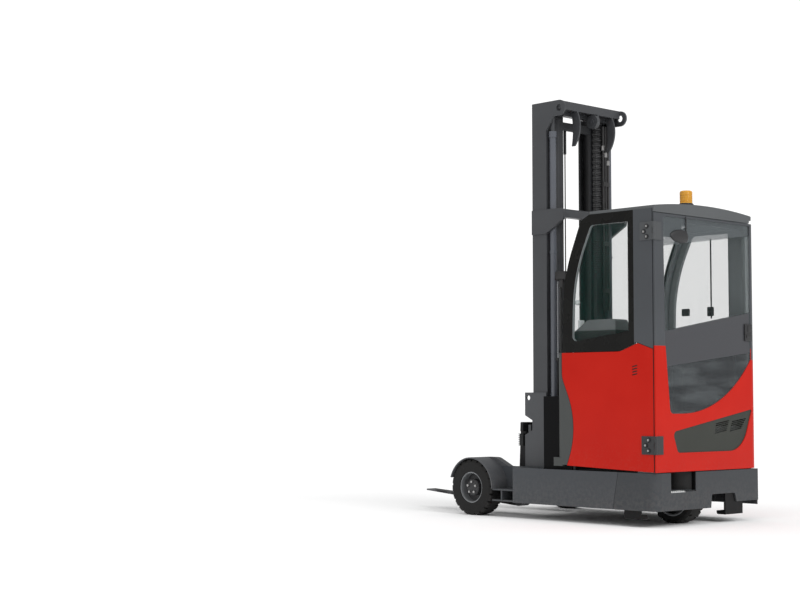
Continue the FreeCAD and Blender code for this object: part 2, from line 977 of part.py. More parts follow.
def load_axles():
    """Flanged stub axles bolted to the arms."""
    piece = Piece("load_axles")
    flange = size.load_flange
    tip = half_width - size.load_hub_inset
    radius = size.load_axle_diameter / 2
    half = [
        (arm_outer_y, 0),
        (arm_outer_y, size.load_flange_diameter / 2),
        (arm_outer_y + flange, size.load_flange_diameter / 2),
        (arm_outer_y + flange, radius),
        (tip, radius),
        (tip, 0),
    ]
    for loop in (half, mirrored(half, "u")):
        piece.turn("X", load_axle_x, "H", loop, origin=(0, load_axle_z))
    return piece


def lugged_tyre(label, x, y, z, diameter, bore, width, count):
    """Solid tyre with bevelled shoulders that are notched into lugs."""
    piece = Piece(label)
    half, outer, shoulder = width / 2, diameter / 2, size.tyre_shoulder
    turned = piece.turn("X", x, "H", [
        (-half, bore / 2 + size.seat_gap),
        (-half, outer - shoulder),
        (shoulder / 2 - half, outer),
        (half - shoulder / 2, outer),
        (half, outer - shoulder),
        (half, bore / 2 + size.seat_gap),
    ], origin=(y, z))
    # The far shoulder is notched at the foot, half a step on as the count is odd
    reach = half - size.lug_length
    notch = size.lug_gap / 2
    for low, high, sign in ((y + reach, y + half, 1), (y - half, y - reach, -1)):
        cut = piece.cut("Y", low, high, [
            (x - notch, z + sign * (outer + notch)),
            (x + notch, z + sign * (outer + notch)),
            (x + notch / 2, z + sign * (outer - size.lug_depth)),
            (x - notch / 2, z + sign * (outer - size.lug_depth)),
        ])
        piece.repeated("Polar", [cut], (turned.Profile[0], ["H_Axis"]), count)
    return piece


def load_tyre(label, side):
    return lugged_tyre(label, load_axle_x, side * load_wheel_y, load_axle_z,
                       size.load_wheel_diameter, size.load_rim_diameter,
                       size.load_wheel_width, 21)


def load_rim(label, side):
    """Pressed rim with its dished disc and hub, turning on the stub axle."""
    piece = Piece(label)
    half = size.load_wheel_width / 2
    outer = size.load_rim_diameter / 2
    wall = size.rim_wall
    hub = size.load_hub_diameter / 2
    bore = size.load_axle_diameter / 2 + size.seat_gap
    disc = size.rim_disc_inset
    cap = load_wheel_y + half - (half_width - size.load_hub_inset)
    reach = half - size.rim_hub_inset
    start = -half + size.rim_lip

    def across(u, v, *rounding):
        return (u * side, v, *rounding)

    piece.turn("X", load_axle_x, "H", [
        across(start, outer),
        across(half - size.rim_lip, outer),
        across(half - size.rim_lip, outer - wall),
        across(disc, outer - wall),
        across(disc, hub),
        across(reach - size.rim_lip, hub),
        across(reach, hub - size.rim_lip),
        across(reach, 0),
        across(half - cap + size.seat_gap, 0),
        across(half - cap + size.seat_gap, bore),
        across(start, bore),
        across(start, hub),
        across(disc - wall, hub),
        across(disc - wall, outer - wall),
        across(start, outer - wall),
    ], origin=(side * load_wheel_y, load_axle_z))
    return piece


def drive_unit():
    """Turntable with its motor above and the gear arm that carries the wheel."""
    piece = Piece("drive_unit")
    table_low = size.chassis_top + size.slewing_ring_height + size.seat_gap
    table_high = table_low + size.turntable_height
    origin = (steer_x, size.steer_y)
    piece.pad("Z", table_low, table_high, circle(0, 0, size.turntable_diameter), origin=origin)
    motor_high = table_high + size.drive_motor_height
    piece.pad("Z", table_high, motor_high, circle(0, 0, size.drive_motor_diameter), origin=origin)
    face = size.steer_y - size.drive_wheel_width / 2 - size.wheel_side_gap
    back = face - size.gear_arm_thickness
    half = size.gear_arm_width / 2
    piece.pad("Y", back, face, [
        (steer_x - half, table_low),
        (steer_x - half, drive_axle_z - half, half * 0.99),
        (steer_x + half, drive_axle_z - half, half * 0.99),
        (steer_x + half, table_low),
    ])
    axle_tip = size.steer_y + size.drive_wheel_width / 2 - size.drive_axle_inset
    piece.pad("Y", face, axle_tip, circle(steer_x, drive_axle_z, size.drive_axle_diameter))
    return piece


def drive_tyre():
    return lugged_tyre("drive_tyre", steer_x, size.steer_y, drive_axle_z,
                       size.drive_wheel_diameter, size.drive_rim_diameter,
                       size.drive_wheel_width, 19)


def drive_rim():
    """Cast centre of the drive wheel, bored for its axle."""
    piece = Piece("drive_rim")
    half = size.drive_wheel_width / 2
    outer = size.drive_rim_diameter / 2
    wall = size.rim_wall * 2
    web = size.drive_web / 2
    hub = size.drive_hub_diameter / 2
    bore = size.drive_axle_diameter / 2 + size.seat_gap
    hub_reach = half - size.drive_axle_inset
    lip = half - size.rim_lip
    piece.turn("X", steer_x, "H", [
        (-lip, outer),
        (lip, outer),
        (lip, outer - wall),
        (web, outer - wall),
        (web, hub),
        (hub_reach, hub),
        (hub_reach, bore),
        (-hub_reach, bore),
        (-hub_reach, hub),
        (-web, hub),
        (-web, outer - wall),
        (-lip, outer - wall),
    ], origin=(size.steer_y, drive_axle_z))
    return piece


def side_panels():
    """Red side mouldings of the cab, one each side."""
    piece = Piece("side_panels")
    foot_z = size.cab_bottom + size.panel_foot_rise
    peak_z = size.panel_top + size.panel_peak_rise
    inner = half_width - size.panel_thickness
    left_start = rear + size.door_skin + size.door_gap
    right_start = rear + size.door_corner_radius + size.door_gap
    for start, low, high in (
        (left_start, inner, half_width),
        (right_start, -half_width, -inner),
    ):
        piece.pad("Y", low, high, [
            (start, size.cab_bottom),
            (rear + size.panel_foot_setback, foot_z),
            (rear + size.panel_waist_setback, size.panel_waist_middle, size.panel_waist_radius),
            (rear + size.panel_front_setback, size.panel_waist_top, size.panel_hip_radius),
            (rear + size.panel_front_setback, size.panel_top),
            (rear + size.panel_shoulder_setback, size.panel_top, size.panel_hip_radius),
            (rear + size.panel_peak_setback, peak_z, size.panel_peak_radius / 2),
            (start, size.panel_top + size.panel_tail_rise),
        ])
    # Four slanted slots under the peak of each panel
    mark_rear = rear + size.mark_setback
    mark_front = mark_rear + size.mark_width
    height = size.mark_height
    for low, high in (
        (half_width - size.mark_depth, half_width),
        (-half_width, -half_width + size.mark_depth),
    ):
        for number in range(4):
            mark_z = size.mark_z + size.mark_pitch * number
            piece.cut("Y", low, high, [
                (mark_rear, mark_z + height),
                (mark_front, mark_z),
                (mark_front, mark_z + height),
                (mark_rear, mark_z + height * 2),
            ])
    return piece


def front_cover():
    """Grey moulding that closes the cab above and beside the battery."""
    piece = Piece("front_cover")
    front = rear + size.cover_front_setback
    gap = size.panel_gap
    wall = size.cover_wall
    low, high = size.cover_bottom, size.panel_top
    back = rear + size.panel_waist_setback
    piece.pad("Z", low, high, [
        (back, -half_width),
        (front, -half_width, size.cover_radius),
        (front, half_width, size.cover_radius),
        (back, half_width),
        (back, half_width - wall),
        (front - wall, half_width - wall),
        (front - wall, -half_width + wall),
        (back, -half_width + wall),
    ])
    # The side cheeks stop where the red panels begin
    foot_z = size.cab_bottom + size.panel_foot_rise
    edge = [
        (back, low),
        (rear + size.panel_foot_setback + gap, low),
        (rear + size.panel_foot_setback + gap, foot_z),
        (rear + size.panel_waist_setback + gap, size.panel_waist_middle, size.panel_waist_radius),
        (rear + size.panel_front_setback + gap, size.panel_waist_top, size.panel_hip_radius),
        (rear + size.panel_front_setback + gap, high),
        (back, high),
    ]
    piece.cut("Y", -half_width, half_width, edge)
    # Foot of each cheek beside the battery
    foot_rear = rear + size.panel_front_setback
    foot_front = rear + size.cover_foot_setback
    foot_low = low - size.cover_foot_drop
    for near, far in ((half_width - wall, half_width), (-half_width, -half_width + wall)):
        piece.pad("Y", near, far, rectangle(foot_rear, foot_low, foot_front, size.cover_foot_top))
    # Cowl shelf under the windshield and its pillars
    shelf_rear = rear + size.window_front_setback - size.pillar_depth
    side = half_width - size.panel_thickness - size.seat_gap
    piece.pad("Z", high - size.cowl_plate, window_bottom,
              rectangle(shelf_rear, -side, front - wall, side))
    # Open below the wall that stands on the battery
    half = battery_half
    piece.cut("Z", low, battery_top + size.battery_clearance,
              rectangle(back, -half, front, half))
    return piece


def front_line(depth):
    """Corners of the cab's front edge from sill to brow, moved back by depth."""
    return [
        (rear + size.window_front_setback - depth, window_bottom),
        (rear + size.window_knee_setback - depth, size.window_knee_z, size.window_knee_radius),
        (rear + size.window_brow_setback - depth, size.window_brow_z - depth / 2,
         size.window_brow_radius),
        (rear + size.roof_front_setback - size.brow_run, roof_underside - depth),
    ]


def cab_frame():
    """Rear posts, front pillars and header beams that carry the roof."""
    piece = Piece("cab_frame")
    start = rear + size.door_skin + size.door_gap
    behind_door = rear + size.door_depth + size.door_gap
    right_start = rear + size.door_corner_radius + size.door_gap
    front = rear + size.post_front_setback
    inner = half_width - size.panel_thickness
    deep = inner - size.post_depth
    foot = size.chassis_top
    # The right post starts further in, clear of the door's rounded corner
    for back, low, high in ((start, deep, inner), (behind_door, -inner, -deep)):
        piece.pad("Y", low, high, rectangle(back, foot, front, roof_underside))
    peak_z = size.panel_top + size.panel_peak_rise + size.panel_gap
    piece.pad("Y", inner, half_width, [
        (start, size.panel_top + size.panel_tail_rise + size.panel_gap),
        (rear + size.panel_peak_setback, peak_z),
        (front, peak_z),
        (front, roof_underside),
        (start, roof_underside),
    ])
    piece.pad("Y", -half_width, -inner, rectangle(right_start, peak_z, front, roof_underside))
    # Front pillars and the beams that tie the four corners together
    pillar = size.pillar_width
    side = inner - size.seat_gap
    profile = front_line(0) + list(reversed(front_line(size.pillar_depth)))
    for low, high in ((side - pillar, side), (-side, -(side - pillar))):
        piece.pad("Y", low, high, profile)
    beam = size.header_height
    for low, high in ((side - pillar, side), (-side, -(side - pillar))):
        piece.pad("Y", low, high, rectangle(
            front, roof_underside - beam, rear + size.roof_front_setback - size.brow_run,
            roof_underside))
    piece.pad("X", behind_door, behind_door + size.header_depth,
              rectangle(-inner, roof_underside - beam, inner, roof_underside))
    return piece


def roof():
    """Crowned roof moulding."""
    piece = Piece("roof")
    half = half_width - size.roof_inset
    rise = size.roof_rise
    crown = (half * half + rise * rise) / (2 * rise)
    front = rear + size.roof_front_setback
    piece.pad("X", rear, front, [
        (-half, roof_underside),
        (half, roof_underside),
        (half, size.roof_edge_z),
        bow(crown),
        (-half, size.roof_edge_z),
    ])
    piece.fillet(size.roof_corner_radius, both(
        runs_along("Z"), lambda edge: edge.CenterOfMass.x > front.number - 1))
    piece.fillet(size.door_corner_radius, both(
        runs_along("Z"),
        lambda edge: edge.CenterOfMass.x < rear.number + 1 and edge.CenterOfMass.y < 0))
    # The rear edge hangs down over the top of the door
    piece.pad("X", rear, rear + size.door_skin, rectangle(
        -half + size.door_corner_radius, roof_underside - size.roof_fascia, half, roof_underside))
    return piece


def window_outline(inset):
    """Outline of a side window, drawn in by inset all round its clear opening."""
    start = rear + size.post_front_setback + size.seat_gap
    if inset is None:
        # The lower rear corner follows the slope of the side panel under it
        slope_run = size.panel_shoulder_setback - size.post_front_setback
        slope_all = size.panel_shoulder_setback - size.panel_peak_setback
        corner_z = window_bottom + size.panel_peak_rise * slope_run / slope_all
        return front_line(0) + [
            (start, roof_underside - size.seat_gap),
            (start, corner_z),
            (rear + size.panel_shoulder_setback, window_bottom),
        ]
    sill = window_bottom + size.window_sill
    return [
        (start + size.window_rear_border + inset, sill + size.window_sill_rise + inset),
        (rear + size.window_front_setback - size.window_border - inset,
         sill + inset, size.window_corner_radius),
        (rear + size.window_knee_setback - size.window_border - inset,
         size.window_knee_z, size.window_knee_radius),
        (rear + size.window_brow_setback - size.window_border - inset,
         size.window_brow_z - size.window_head - inset, size.window_corner_radius),
        (start + size.window_rear_border + inset, size.window_brow_z - size.window_head - inset),
    ]


def window_frames():
    """Black borders of the two side windows."""
    piece = Piece("window_frames")
    outer = half_width
    inner = half_width - size.window_frame_depth
    for low, high in ((inner, outer), (-outer, -inner)):
        piece.pad("Y", low, high, window_outline(None), window_outline(Size.of(0)))
    return piece


def cab_glass():
    """Panes of the two side windows and the curved front pane."""
    piece = Piece("cab_glass")
    outer = half_width - size.glass_setback
    inner = outer - size.glass_thickness
    for low, high in ((inner, outer), (-outer, -inner)):
        piece.pad("Y", low, high, window_outline(size.seat_gap))
    side = half_width - size.panel_thickness - size.seat_gap * 2 - size.pillar_width
    setback = size.glass_setback
    pane = front_line(setback) + list(reversed(front_line(setback + size.glass_thickness)))
    piece.pad("Y", -side, side, pane)
    return piece


def seat_plinth():
    """Box over the drive motor that carries the seat."""
    piece = Piece("seat_plinth")
    wall = size.plinth_wall
    low = size.chassis_top + size.floor_plate
    high = low + size.plinth_height
    left = size.plinth_left_y
    right = -(half_width - size.panel_thickness - size.post_depth - size.seat_gap)
    start = rear + size.plinth_setback
    end = start + size.plinth_length
    piece.pad("Z", low, high, rectangle(start, right, end, left, wall))
    piece.cut("Z", low, high - wall,
              rectangle(start + wall, right + wall, end - wall, left - wall))
    return piece


def cab_floor():
    """Ribbed mat on the deck, open at the step and round the turntable."""
    piece = Piece("cab_floor")
    low = size.chassis_top
    high = low + size.floor_plate
    inner = half_width - size.panel_thickness - size.post_depth - size.seat_gap
    start = rear + size.door_depth + size.door_gap
    piece.pad("Z", low, high, rectangle(start, -inner, console_x, inner))
    ring = size.deck_hole + (size.slewing_ring_wall + size.seat_gap) * 2
    piece.cut("Z", low, high, circle(steer_x, size.steer_y, ring))
    step_left = size.step_middle_y + size.step_width / 2
    step_right = size.step_middle_y - size.step_width / 2
    piece.cut("Z", low, high, rectangle(
        start, step_right, rear + size.skirt_wall + size.step_run, step_left))
    return piece


def seat_cushion():
    piece = Piece("seat_cushion")
    low = size.chassis_top + size.floor_plate + size.plinth_height
    start = rear + size.seat_setback
    back = -seat_back_y
    piece.pad("Z", low, low + size.seat_cushion_height, rectangle(
        start, back, start + size.seat_width, back + size.seat_depth, size.seat_radius))
    return piece


def seat_back():
    piece = Piece("seat_back")
    low = size.chassis_top + size.floor_plate + size.plinth_height
    start = rear + size.seat_setback
    front = -seat_back_y - size.seat_gap
    back = front - size.seat_back_thickness
    piece.pad("Y", back, front, rectangle(
        start, low, start + size.seat_width, low + size.seat_back_height, size.seat_radius * 2))
    return piece


def console():
    """Wall behind the battery with the dashboard above it."""
    piece = Piece("console")
    side = half_width - size.panel_thickness - size.seat_gap
    start = console_x
    wall = battery_rear_x - size.battery_clearance * 2
    shelf = battery_top + size.battery_clearance
    front = rear + size.cover_front_setback - size.cover_wall - size.seat_gap
    top = size.panel_top - size.cowl_plate - size.seat_gap
    piece.pad("Y", -side, side, [
        (start, size.chassis_top),
        (wall, size.chassis_top),
        (wall, shelf),
        (front, shelf),
        (front, top),
        (start + size.console_depth, top, size.panel_gap * 5),
        (start, console_top, size.panel_gap * 5),
    ])
    # Instrument hood under the sill of the left window, on a neck
    hood_rear = rear + size.hood_rear_setback
    neck = rear + size.hood_neck_setback
    hood_left = half_width - size.hood_inset
    piece.pad("Y", hood_left - size.hood_width, hood_left, [
        (neck - size.hood_neck, console_top - size.hood_neck),
        (neck, console_top - size.hood_neck),
        (neck, size.hood_front_z - size.hood_neck, size.hood_radius * 2),
        (rear + size.hood_front_setback, size.hood_front_z, size.hood_radius / 2),
        (rear + size.hood_brow_setback, size.hood_top, size.hood_radius * 2),
        (hood_rear, size.hood_top, size.hood_radius),
        (hood_rear, size.panel_top, size.hood_radius),
        (neck - size.hood_neck, size.panel_top, size.hood_radius / 2),
    ])
    return piece


def steering_wheel():
    """Rim, spokes and hub on an arm from the console."""
    piece = Piece("steering_wheel")
    x = console_x - size.wheel_reach
    y, z = half_width - size.wheel_inset, console_top - size.wheel_drop
    grip = size.wheel_grip_thickness
    radius = size.wheel_grip_diameter / 2 - grip / 2
    half = size.wheel_column_diameter / 2
    piece.pad("Z", z - grip, z + grip / 2, circle(x, y, size.wheel_column_diameter * 2))
    for turn in range(3):
        angle = 120 * turn + 90
        across = (half / 2 * sine(angle), -half / 2 * cosine(angle))
        tip = (radius * cosine(angle), radius * sine(angle))
        piece.pad("Z", z - grip / 4, z + grip / 4, [
            (x - across[0], y - across[1]),
            (x + tip[0] - across[0], y + tip[1] - across[1]),
            (x + tip[0] + across[0], y + tip[1] + across[1]),
            (x + across[0], y + across[1]),
        ])
    facets = [
        (radius + grip / 2 * cosine(45 * turn), z + grip / 2 * sine(45 * turn))
        for turn in range(8)
    ]
    piece.turn("Y", y, "V", facets, origin=(x, 0))
    low = z - size.wheel_column_length
    piece.pad("Z", low, z - grip, circle(x, y, size.wheel_column_diameter))
    piece.pad("X", x - half, console_x - size.seat_gap,
              rectangle(y - half, low - half, y + half, low + half))
    return piece


def beacon_base():
    piece = Piece("beacon_base")
    x, y = rear + size.beacon_setback, size.beacon_y
    low = size.roof_edge_z + size.roof_rise + size.seat_gap
    high = low + size.beacon_base_height
    radius = size.beacon_diameter / 2
    piece.turn("Y", y, "V", [
        (0, low),
        (radius, low),
        (radius, high - size.beacon_lip),
        (radius - size.beacon_lip, high),
        (0, high),
    ], origin=(x, 0))
    return piece


def beacon_lens():
    piece = Piece("beacon_lens")
    x, y = rear + size.beacon_setback, size.beacon_y
    low = size.roof_edge_z + size.roof_rise + size.beacon_base_height + size.seat_gap
    high = low + size.beacon_lens_height
    radius = size.beacon_diameter / 2 - size.beacon_lip
    lip = size.beacon_lip
    piece.turn("Y", y, "V", [
        (0, low),
        (radius, low),
        (radius, high - lip * 1.5),
        (radius - lip / 2, high - lip / 2),
        (radius - lip * 1.5, high),
        (0, high),
    ], origin=(x, 0))
    # Ribs of the lens, left between grooves
    for number in range(4):
        groove = low + lip * (2 * number + 1)
        piece.turn("Y", y, "V", [
            (radius - lip / 4, groove),
            (radius + lip, groove),
            (radius + lip, groove + lip / 2),
            (radius - lip / 4, groove + lip / 2),
        ], origin=(x, 0), cut=True)
    return piece


def door_opening(inset):
    """Outline of the door's pane: straight at the top, swept up to the right below."""
    return [
        (glass_right_y + inset, size.glass_top_z - inset),
        (door_left_y - size.glass_left_top_inset - inset, size.glass_top_z - inset, size.glass_corner_radius),
        (door_left_y - size.glass_left_middle_inset - inset, size.glass_left_middle_z),
        (door_left_y - size.glass_left_low_inset - inset, size.glass_bottom_z + inset, size.glass_corner_radius),
        (door_left_y - size.glass_bend_inset, size.glass_bottom_z + inset),
        bow(-size.glass_sweep_radius),
        (glass_right_y + inset, size.glass_right_low_z),
    ]


def door_frame():
    """Grey door frame: upper ring, right edge and the rails behind the red skin."""
    piece = Piece("door_frame")
    skin, depth = size.door_skin, size.door_depth
    flat_right = -half_width + size.door_corner_radius
    red_top = size.door_red_top
    gap = size.seat_gap
    piece.pad("X", rear, rear + skin, [
        (flat_right, red_top + gap),
        (door_left_y, red_top + gap),
        (door_left_y, size.door_top),
        (flat_right, size.door_top),
    ])
    piece.cut("X", rear, rear + skin, door_opening(Size.of(0)))
    corner = [
        (rear, flat_right),
        bow(size.door_corner_radius),
        (rear + size.door_corner_radius, -half_width),
        (rear + size.door_corner_radius, -half_width + skin),
        bow(-(size.door_corner_radius - skin)),
        (rear + skin, flat_right),
    ]
    piece.pad("Z", size.glass_right_low_z + gap, size.door_top, corner)
    # Rails inside the cab opening
    left = half_width - size.panel_thickness - size.post_depth - size.door_gap
    right = -left
    low, high = size.door_bottom + size.door_gap, size.door_top - size.door_gap
    stile, rail = size.door_stile, size.door_rail
    piece.pad("X", rear + skin, rear + depth, rectangle(right, low, left, high))
    piece.cut("X", rear + skin, rear + depth, [
        (right + stile, low + rail, stile),
        (left - stile, low + rail, stile),
        (left - stile, high - stile, stile),
        (right + stile, high - stile, stile),
    ])
    # Cover of the wiper drive in the upper left corner of the ring
    piece.pad("X", rear + skin, rear + depth, [
        (size.wiper_plate_y, high - stile),
        (size.wiper_plate_y, size.wiper_plate_z, stile),
        (left - stile, size.wiper_plate_z),
        (left - stile, high - stile),
    ])
    return piece


def door_skin():
    """Red lower moulding of the door, swept round the right corner."""
    piece = Piece("door_skin")
    skin = size.door_skin
    flat_right = -half_width + size.door_corner_radius
    piece.pad("X", rear, rear + skin, [
        (flat_right, size.door_bottom),
        (door_left_y, size.door_bottom),
        (door_left_y, size.door_red_top),
        (flat_right, size.door_red_top),
    ])
    opening = door_opening(Size.of(0))
    piece.cut("X", rear, rear + skin, opening)
    piece.cut("X", rear, rear + skin, grille_outline(Size.of(0)))
    corner = [
        (rear, flat_right),
        bow(size.door_corner_radius),
        (rear + size.door_corner_radius, -half_width),
        (rear + size.door_corner_radius, -half_width + skin),
        bow(-(size.door_corner_radius - skin)),
        (rear + skin, flat_right),
    ]
    piece.pad("Z", size.door_bottom, size.glass_right_low_z, corner)
    return piece


def door_glass():
    """Large rear pane in the door."""
    piece = Piece("door_glass")
    start = rear + size.door_pane_setback
    piece.pad("X", start, start + size.glass_thickness, door_opening(size.seat_gap))
    return piece


def grille_outline(inset):
    top_left = door_left_y - size.grille_top_left_inset - inset
    bottom_left = door_left_y - size.grille_bottom_left_inset - inset
    bottom_right = -half_width + size.grille_bottom_right_inset + inset
    right = -half_width + size.grille_right_inset + inset
    low = size.grille_bottom_z + inset
    return [
        (top_left, size.grille_top_left_z - inset, size.grille_small_radius),
        (bottom_left, low, size.grille_small_radius),
        (bottom_right, low, size.grille_large_radius),
        (right, size.grille_top_right_z - inset, size.grille_tip_radius),
    ]


def door_grille():
    """Recessed grey panel with two groups of slanted air slots."""
    piece = Piece("door_grille")
    start = rear + size.grille_recess
    end = rear + size.door_skin
    piece.pad("X", start, end, grille_outline(size.seat_gap))
    for middle_y, low_z, lean in (
        (size.vent_one_inset - half_width, size.vent_one_z, size.vent_lean),
        (size.vent_two_inset - half_width, size.vent_two_z, size.vent_lean * 2),
    ):
        slots = []
        for number in range(6):
            low = low_z + size.slot_pitch * number
            high = low + size.slot_height
            half = size.vent_width / 2
            shift = lean * number
            right, left = middle_y - half - shift, middle_y + half - shift / 2
            slots.append([
                (right, low + size.vent_rise),
                (left, low),
                (left, high),
                (right, high + size.vent_rise),
            ])
        piece.cut("X", start, end, *slots)
    return piece


def hinge_levels():
    for middle in (size.upper_hinge_z, size.lower_hinge_z):
        yield middle - size.hinge_height / 2, middle + size.hinge_height / 2


def door_hinges():
    """Hinge leaves and middle barrels on the door."""
    piece = Piece("door_hinges")
    leaf = size.hinge_leaf
    for low, high in hinge_levels():
        third = (high - low) / 3
        piece.pad("X", rear - leaf, rear,
                  rectangle(door_left_y - size.hinge_door_leaf, low, hinge_y, high))
        # The leaf is open where the cab's barrels turn
        for bottom, top in ((low, low + third), (high - third, high)):
            piece.cut("X", rear - leaf, rear, rectangle(
                hinge_y - size.hinge_barrel_diameter, bottom - size.hinge_play,
                hinge_y, top + size.hinge_play))
        start, end = low + third + size.hinge_play, high - third - size.hinge_play
        piece.pad("Z", start, end, circle(hinge_x, hinge_y, size.hinge_barrel_diameter))
        piece.cut("Z", start, end,
                  circle(hinge_x, hinge_y, size.hinge_pin_diameter + size.seat_gap * 2))
    return piece


def cab_hinges():
    """Hinge leaves, outer barrels and pins on the cab post."""
    piece = Piece("cab_hinges")
    leaf = size.hinge_leaf
    face = half_width
    for low, high in hinge_levels():
        third = (high - low) / 3
        end = rear + size.hinge_cab_leaf
        piece.pad("Y", face, face + leaf, rectangle(hinge_x, low, end, high))
        piece.cut("Y", face, face + leaf, rectangle(
            hinge_x, low + third - size.hinge_play,
            hinge_x + size.hinge_barrel_diameter, high - third + size.hinge_play))
        for bottom, top in ((low, low + third), (high - third, high)):
            piece.pad("Z", bottom, top, circle(hinge_x, hinge_y, size.hinge_barrel_diameter))
        piece.pad("Z", low, high, circle(hinge_x, hinge_y, size.hinge_pin_diameter))
    return piece


def rail_pair(piece, outer_y, width, web_from, rear_x, front_x, low, high, lips):
    """Two upright rails. lips says which sides of the web carry flanges."""
    web, flange = size.rail_web, size.rail_flange
    inner_y = outer_y - width
    web_out, web_in = outer_y - web_from, outer_y - web_from - web
    out_y = outer_y if "out" in lips else web_out
    in_y = inner_y if "in" in lips else web_in
    section = [
        (rear_x, in_y),
        (rear_x + flange, in_y),
        (rear_x + flange, web_in),
        (front_x - flange, web_in),
        (front_x - flange, in_y),
        (front_x, in_y),
    ]
    if "out" in lips:
        section += [
            (front_x, out_y),
            (front_x - flange, out_y),
            (front_x - flange, web_out),
            (rear_x + flange, web_out),
            (rear_x + flange, out_y),
            (rear_x, out_y),
        ]
    else:
        section += [(front_x, web_out), (rear_x, web_out)]
    piece.pad("Z", low, high, section, mirrored(section, "v"))


def rollers(piece, x, z, diameter, low_y, high_y, pin_from):
    """One guide roller each side, on a stub pin from the piece that carries it."""
    for side in (1, -1):
        ends = sorted((side * low_y, side * high_y), key=lambda value: value.number)
        piece.pad("Y", *ends, circle(x, z, diameter))
        pin = sorted((side * pin_from, side * low_y), key=lambda value: value.number)
        piece.pad("Y", *pin, circle(x, z, size.roller_pin_diameter))


def reach_carriage():
    """Base between the legs: side plates, floor plate, rollers and reach rod."""
    piece = Piece("reach_carriage")
    outer = half_mast + size.side_plate_thickness + size.seat_gap
    inner = half_mast + size.seat_gap
    low = size.carriage_bottom
    tail_x = mast_rear_x - size.carriage_tail
    tip_x = mast_front_x + size.side_plate_lead
    shelf_z = size.chassis_top
    outline = [
        (tail_x, low),
        (tip_x, low),
        (tip_x, size.side_plate_waist_low),
        (mast_front_x + size.seat_gap, size.side_plate_waist_low + (tip_x - mast_front_x) / 2),
        (mast_front_x + size.seat_gap, size.side_plate_waist_high),
        (tip_x, size.side_plate_waist_high + (tip_x - mast_front_x) / 2),
        (tip_x, size.side_plate_top),
        (mast_rear_x, size.side_plate_top),
        (mast_rear_x, shelf_z),
        (tail_x, shelf_z),
    ]
    for side_low, side_high in ((inner, outer), (-outer, -inner)):
        piece.pad("Y", side_low, side_high, outline)
    eye_x = mast_front_x + size.plate_eye_inset
    eye_z = size.side_plate_top - size.plate_eye_inset
    piece.cut("Y", -outer, outer, circle(eye_x, eye_z, size.plate_eye))
    plate = size.carriage_plate
    seated = inner - size.seat_gap
    piece.pad("Z", low, low + plate, rectangle(tail_x, -seated, tip_x, seated))
    # The front roller still runs in its channel when the mast is fully out
    roller = size.channel_height - size.seat_gap * 2
    for x in (tail_x + roller / 2, arm_end_x - size.reach_travel - roller / 2):
        rollers(piece, x, size.channel_middle, roller, outer,
                half_leg_gap + size.channel_depth - size.running_gap, inner)
    piece.pad("X", reach_barrel_x + size.reach_rod_inset, tail_x,
              circle(0, size.reach_cylinder_z, size.reach_rod_diameter))
    return piece


def reach_cylinder():
    """Cylinder under the battery that pushes the mast carriage forward."""
    piece = Piece("reach_cylinder")
    z = size.reach_cylinder_z
    start = reach_barrel_x
    end = mast_slot_x + size.seat_gap
    piece.pad("X", start, end, circle(0, z, size.reach_cylinder_diameter))
    bore = size.reach_rod_diameter + size.seat_gap * 2
    piece.cut("X", start + size.rim_wall, end, circle(0, z, bore))
    return piece


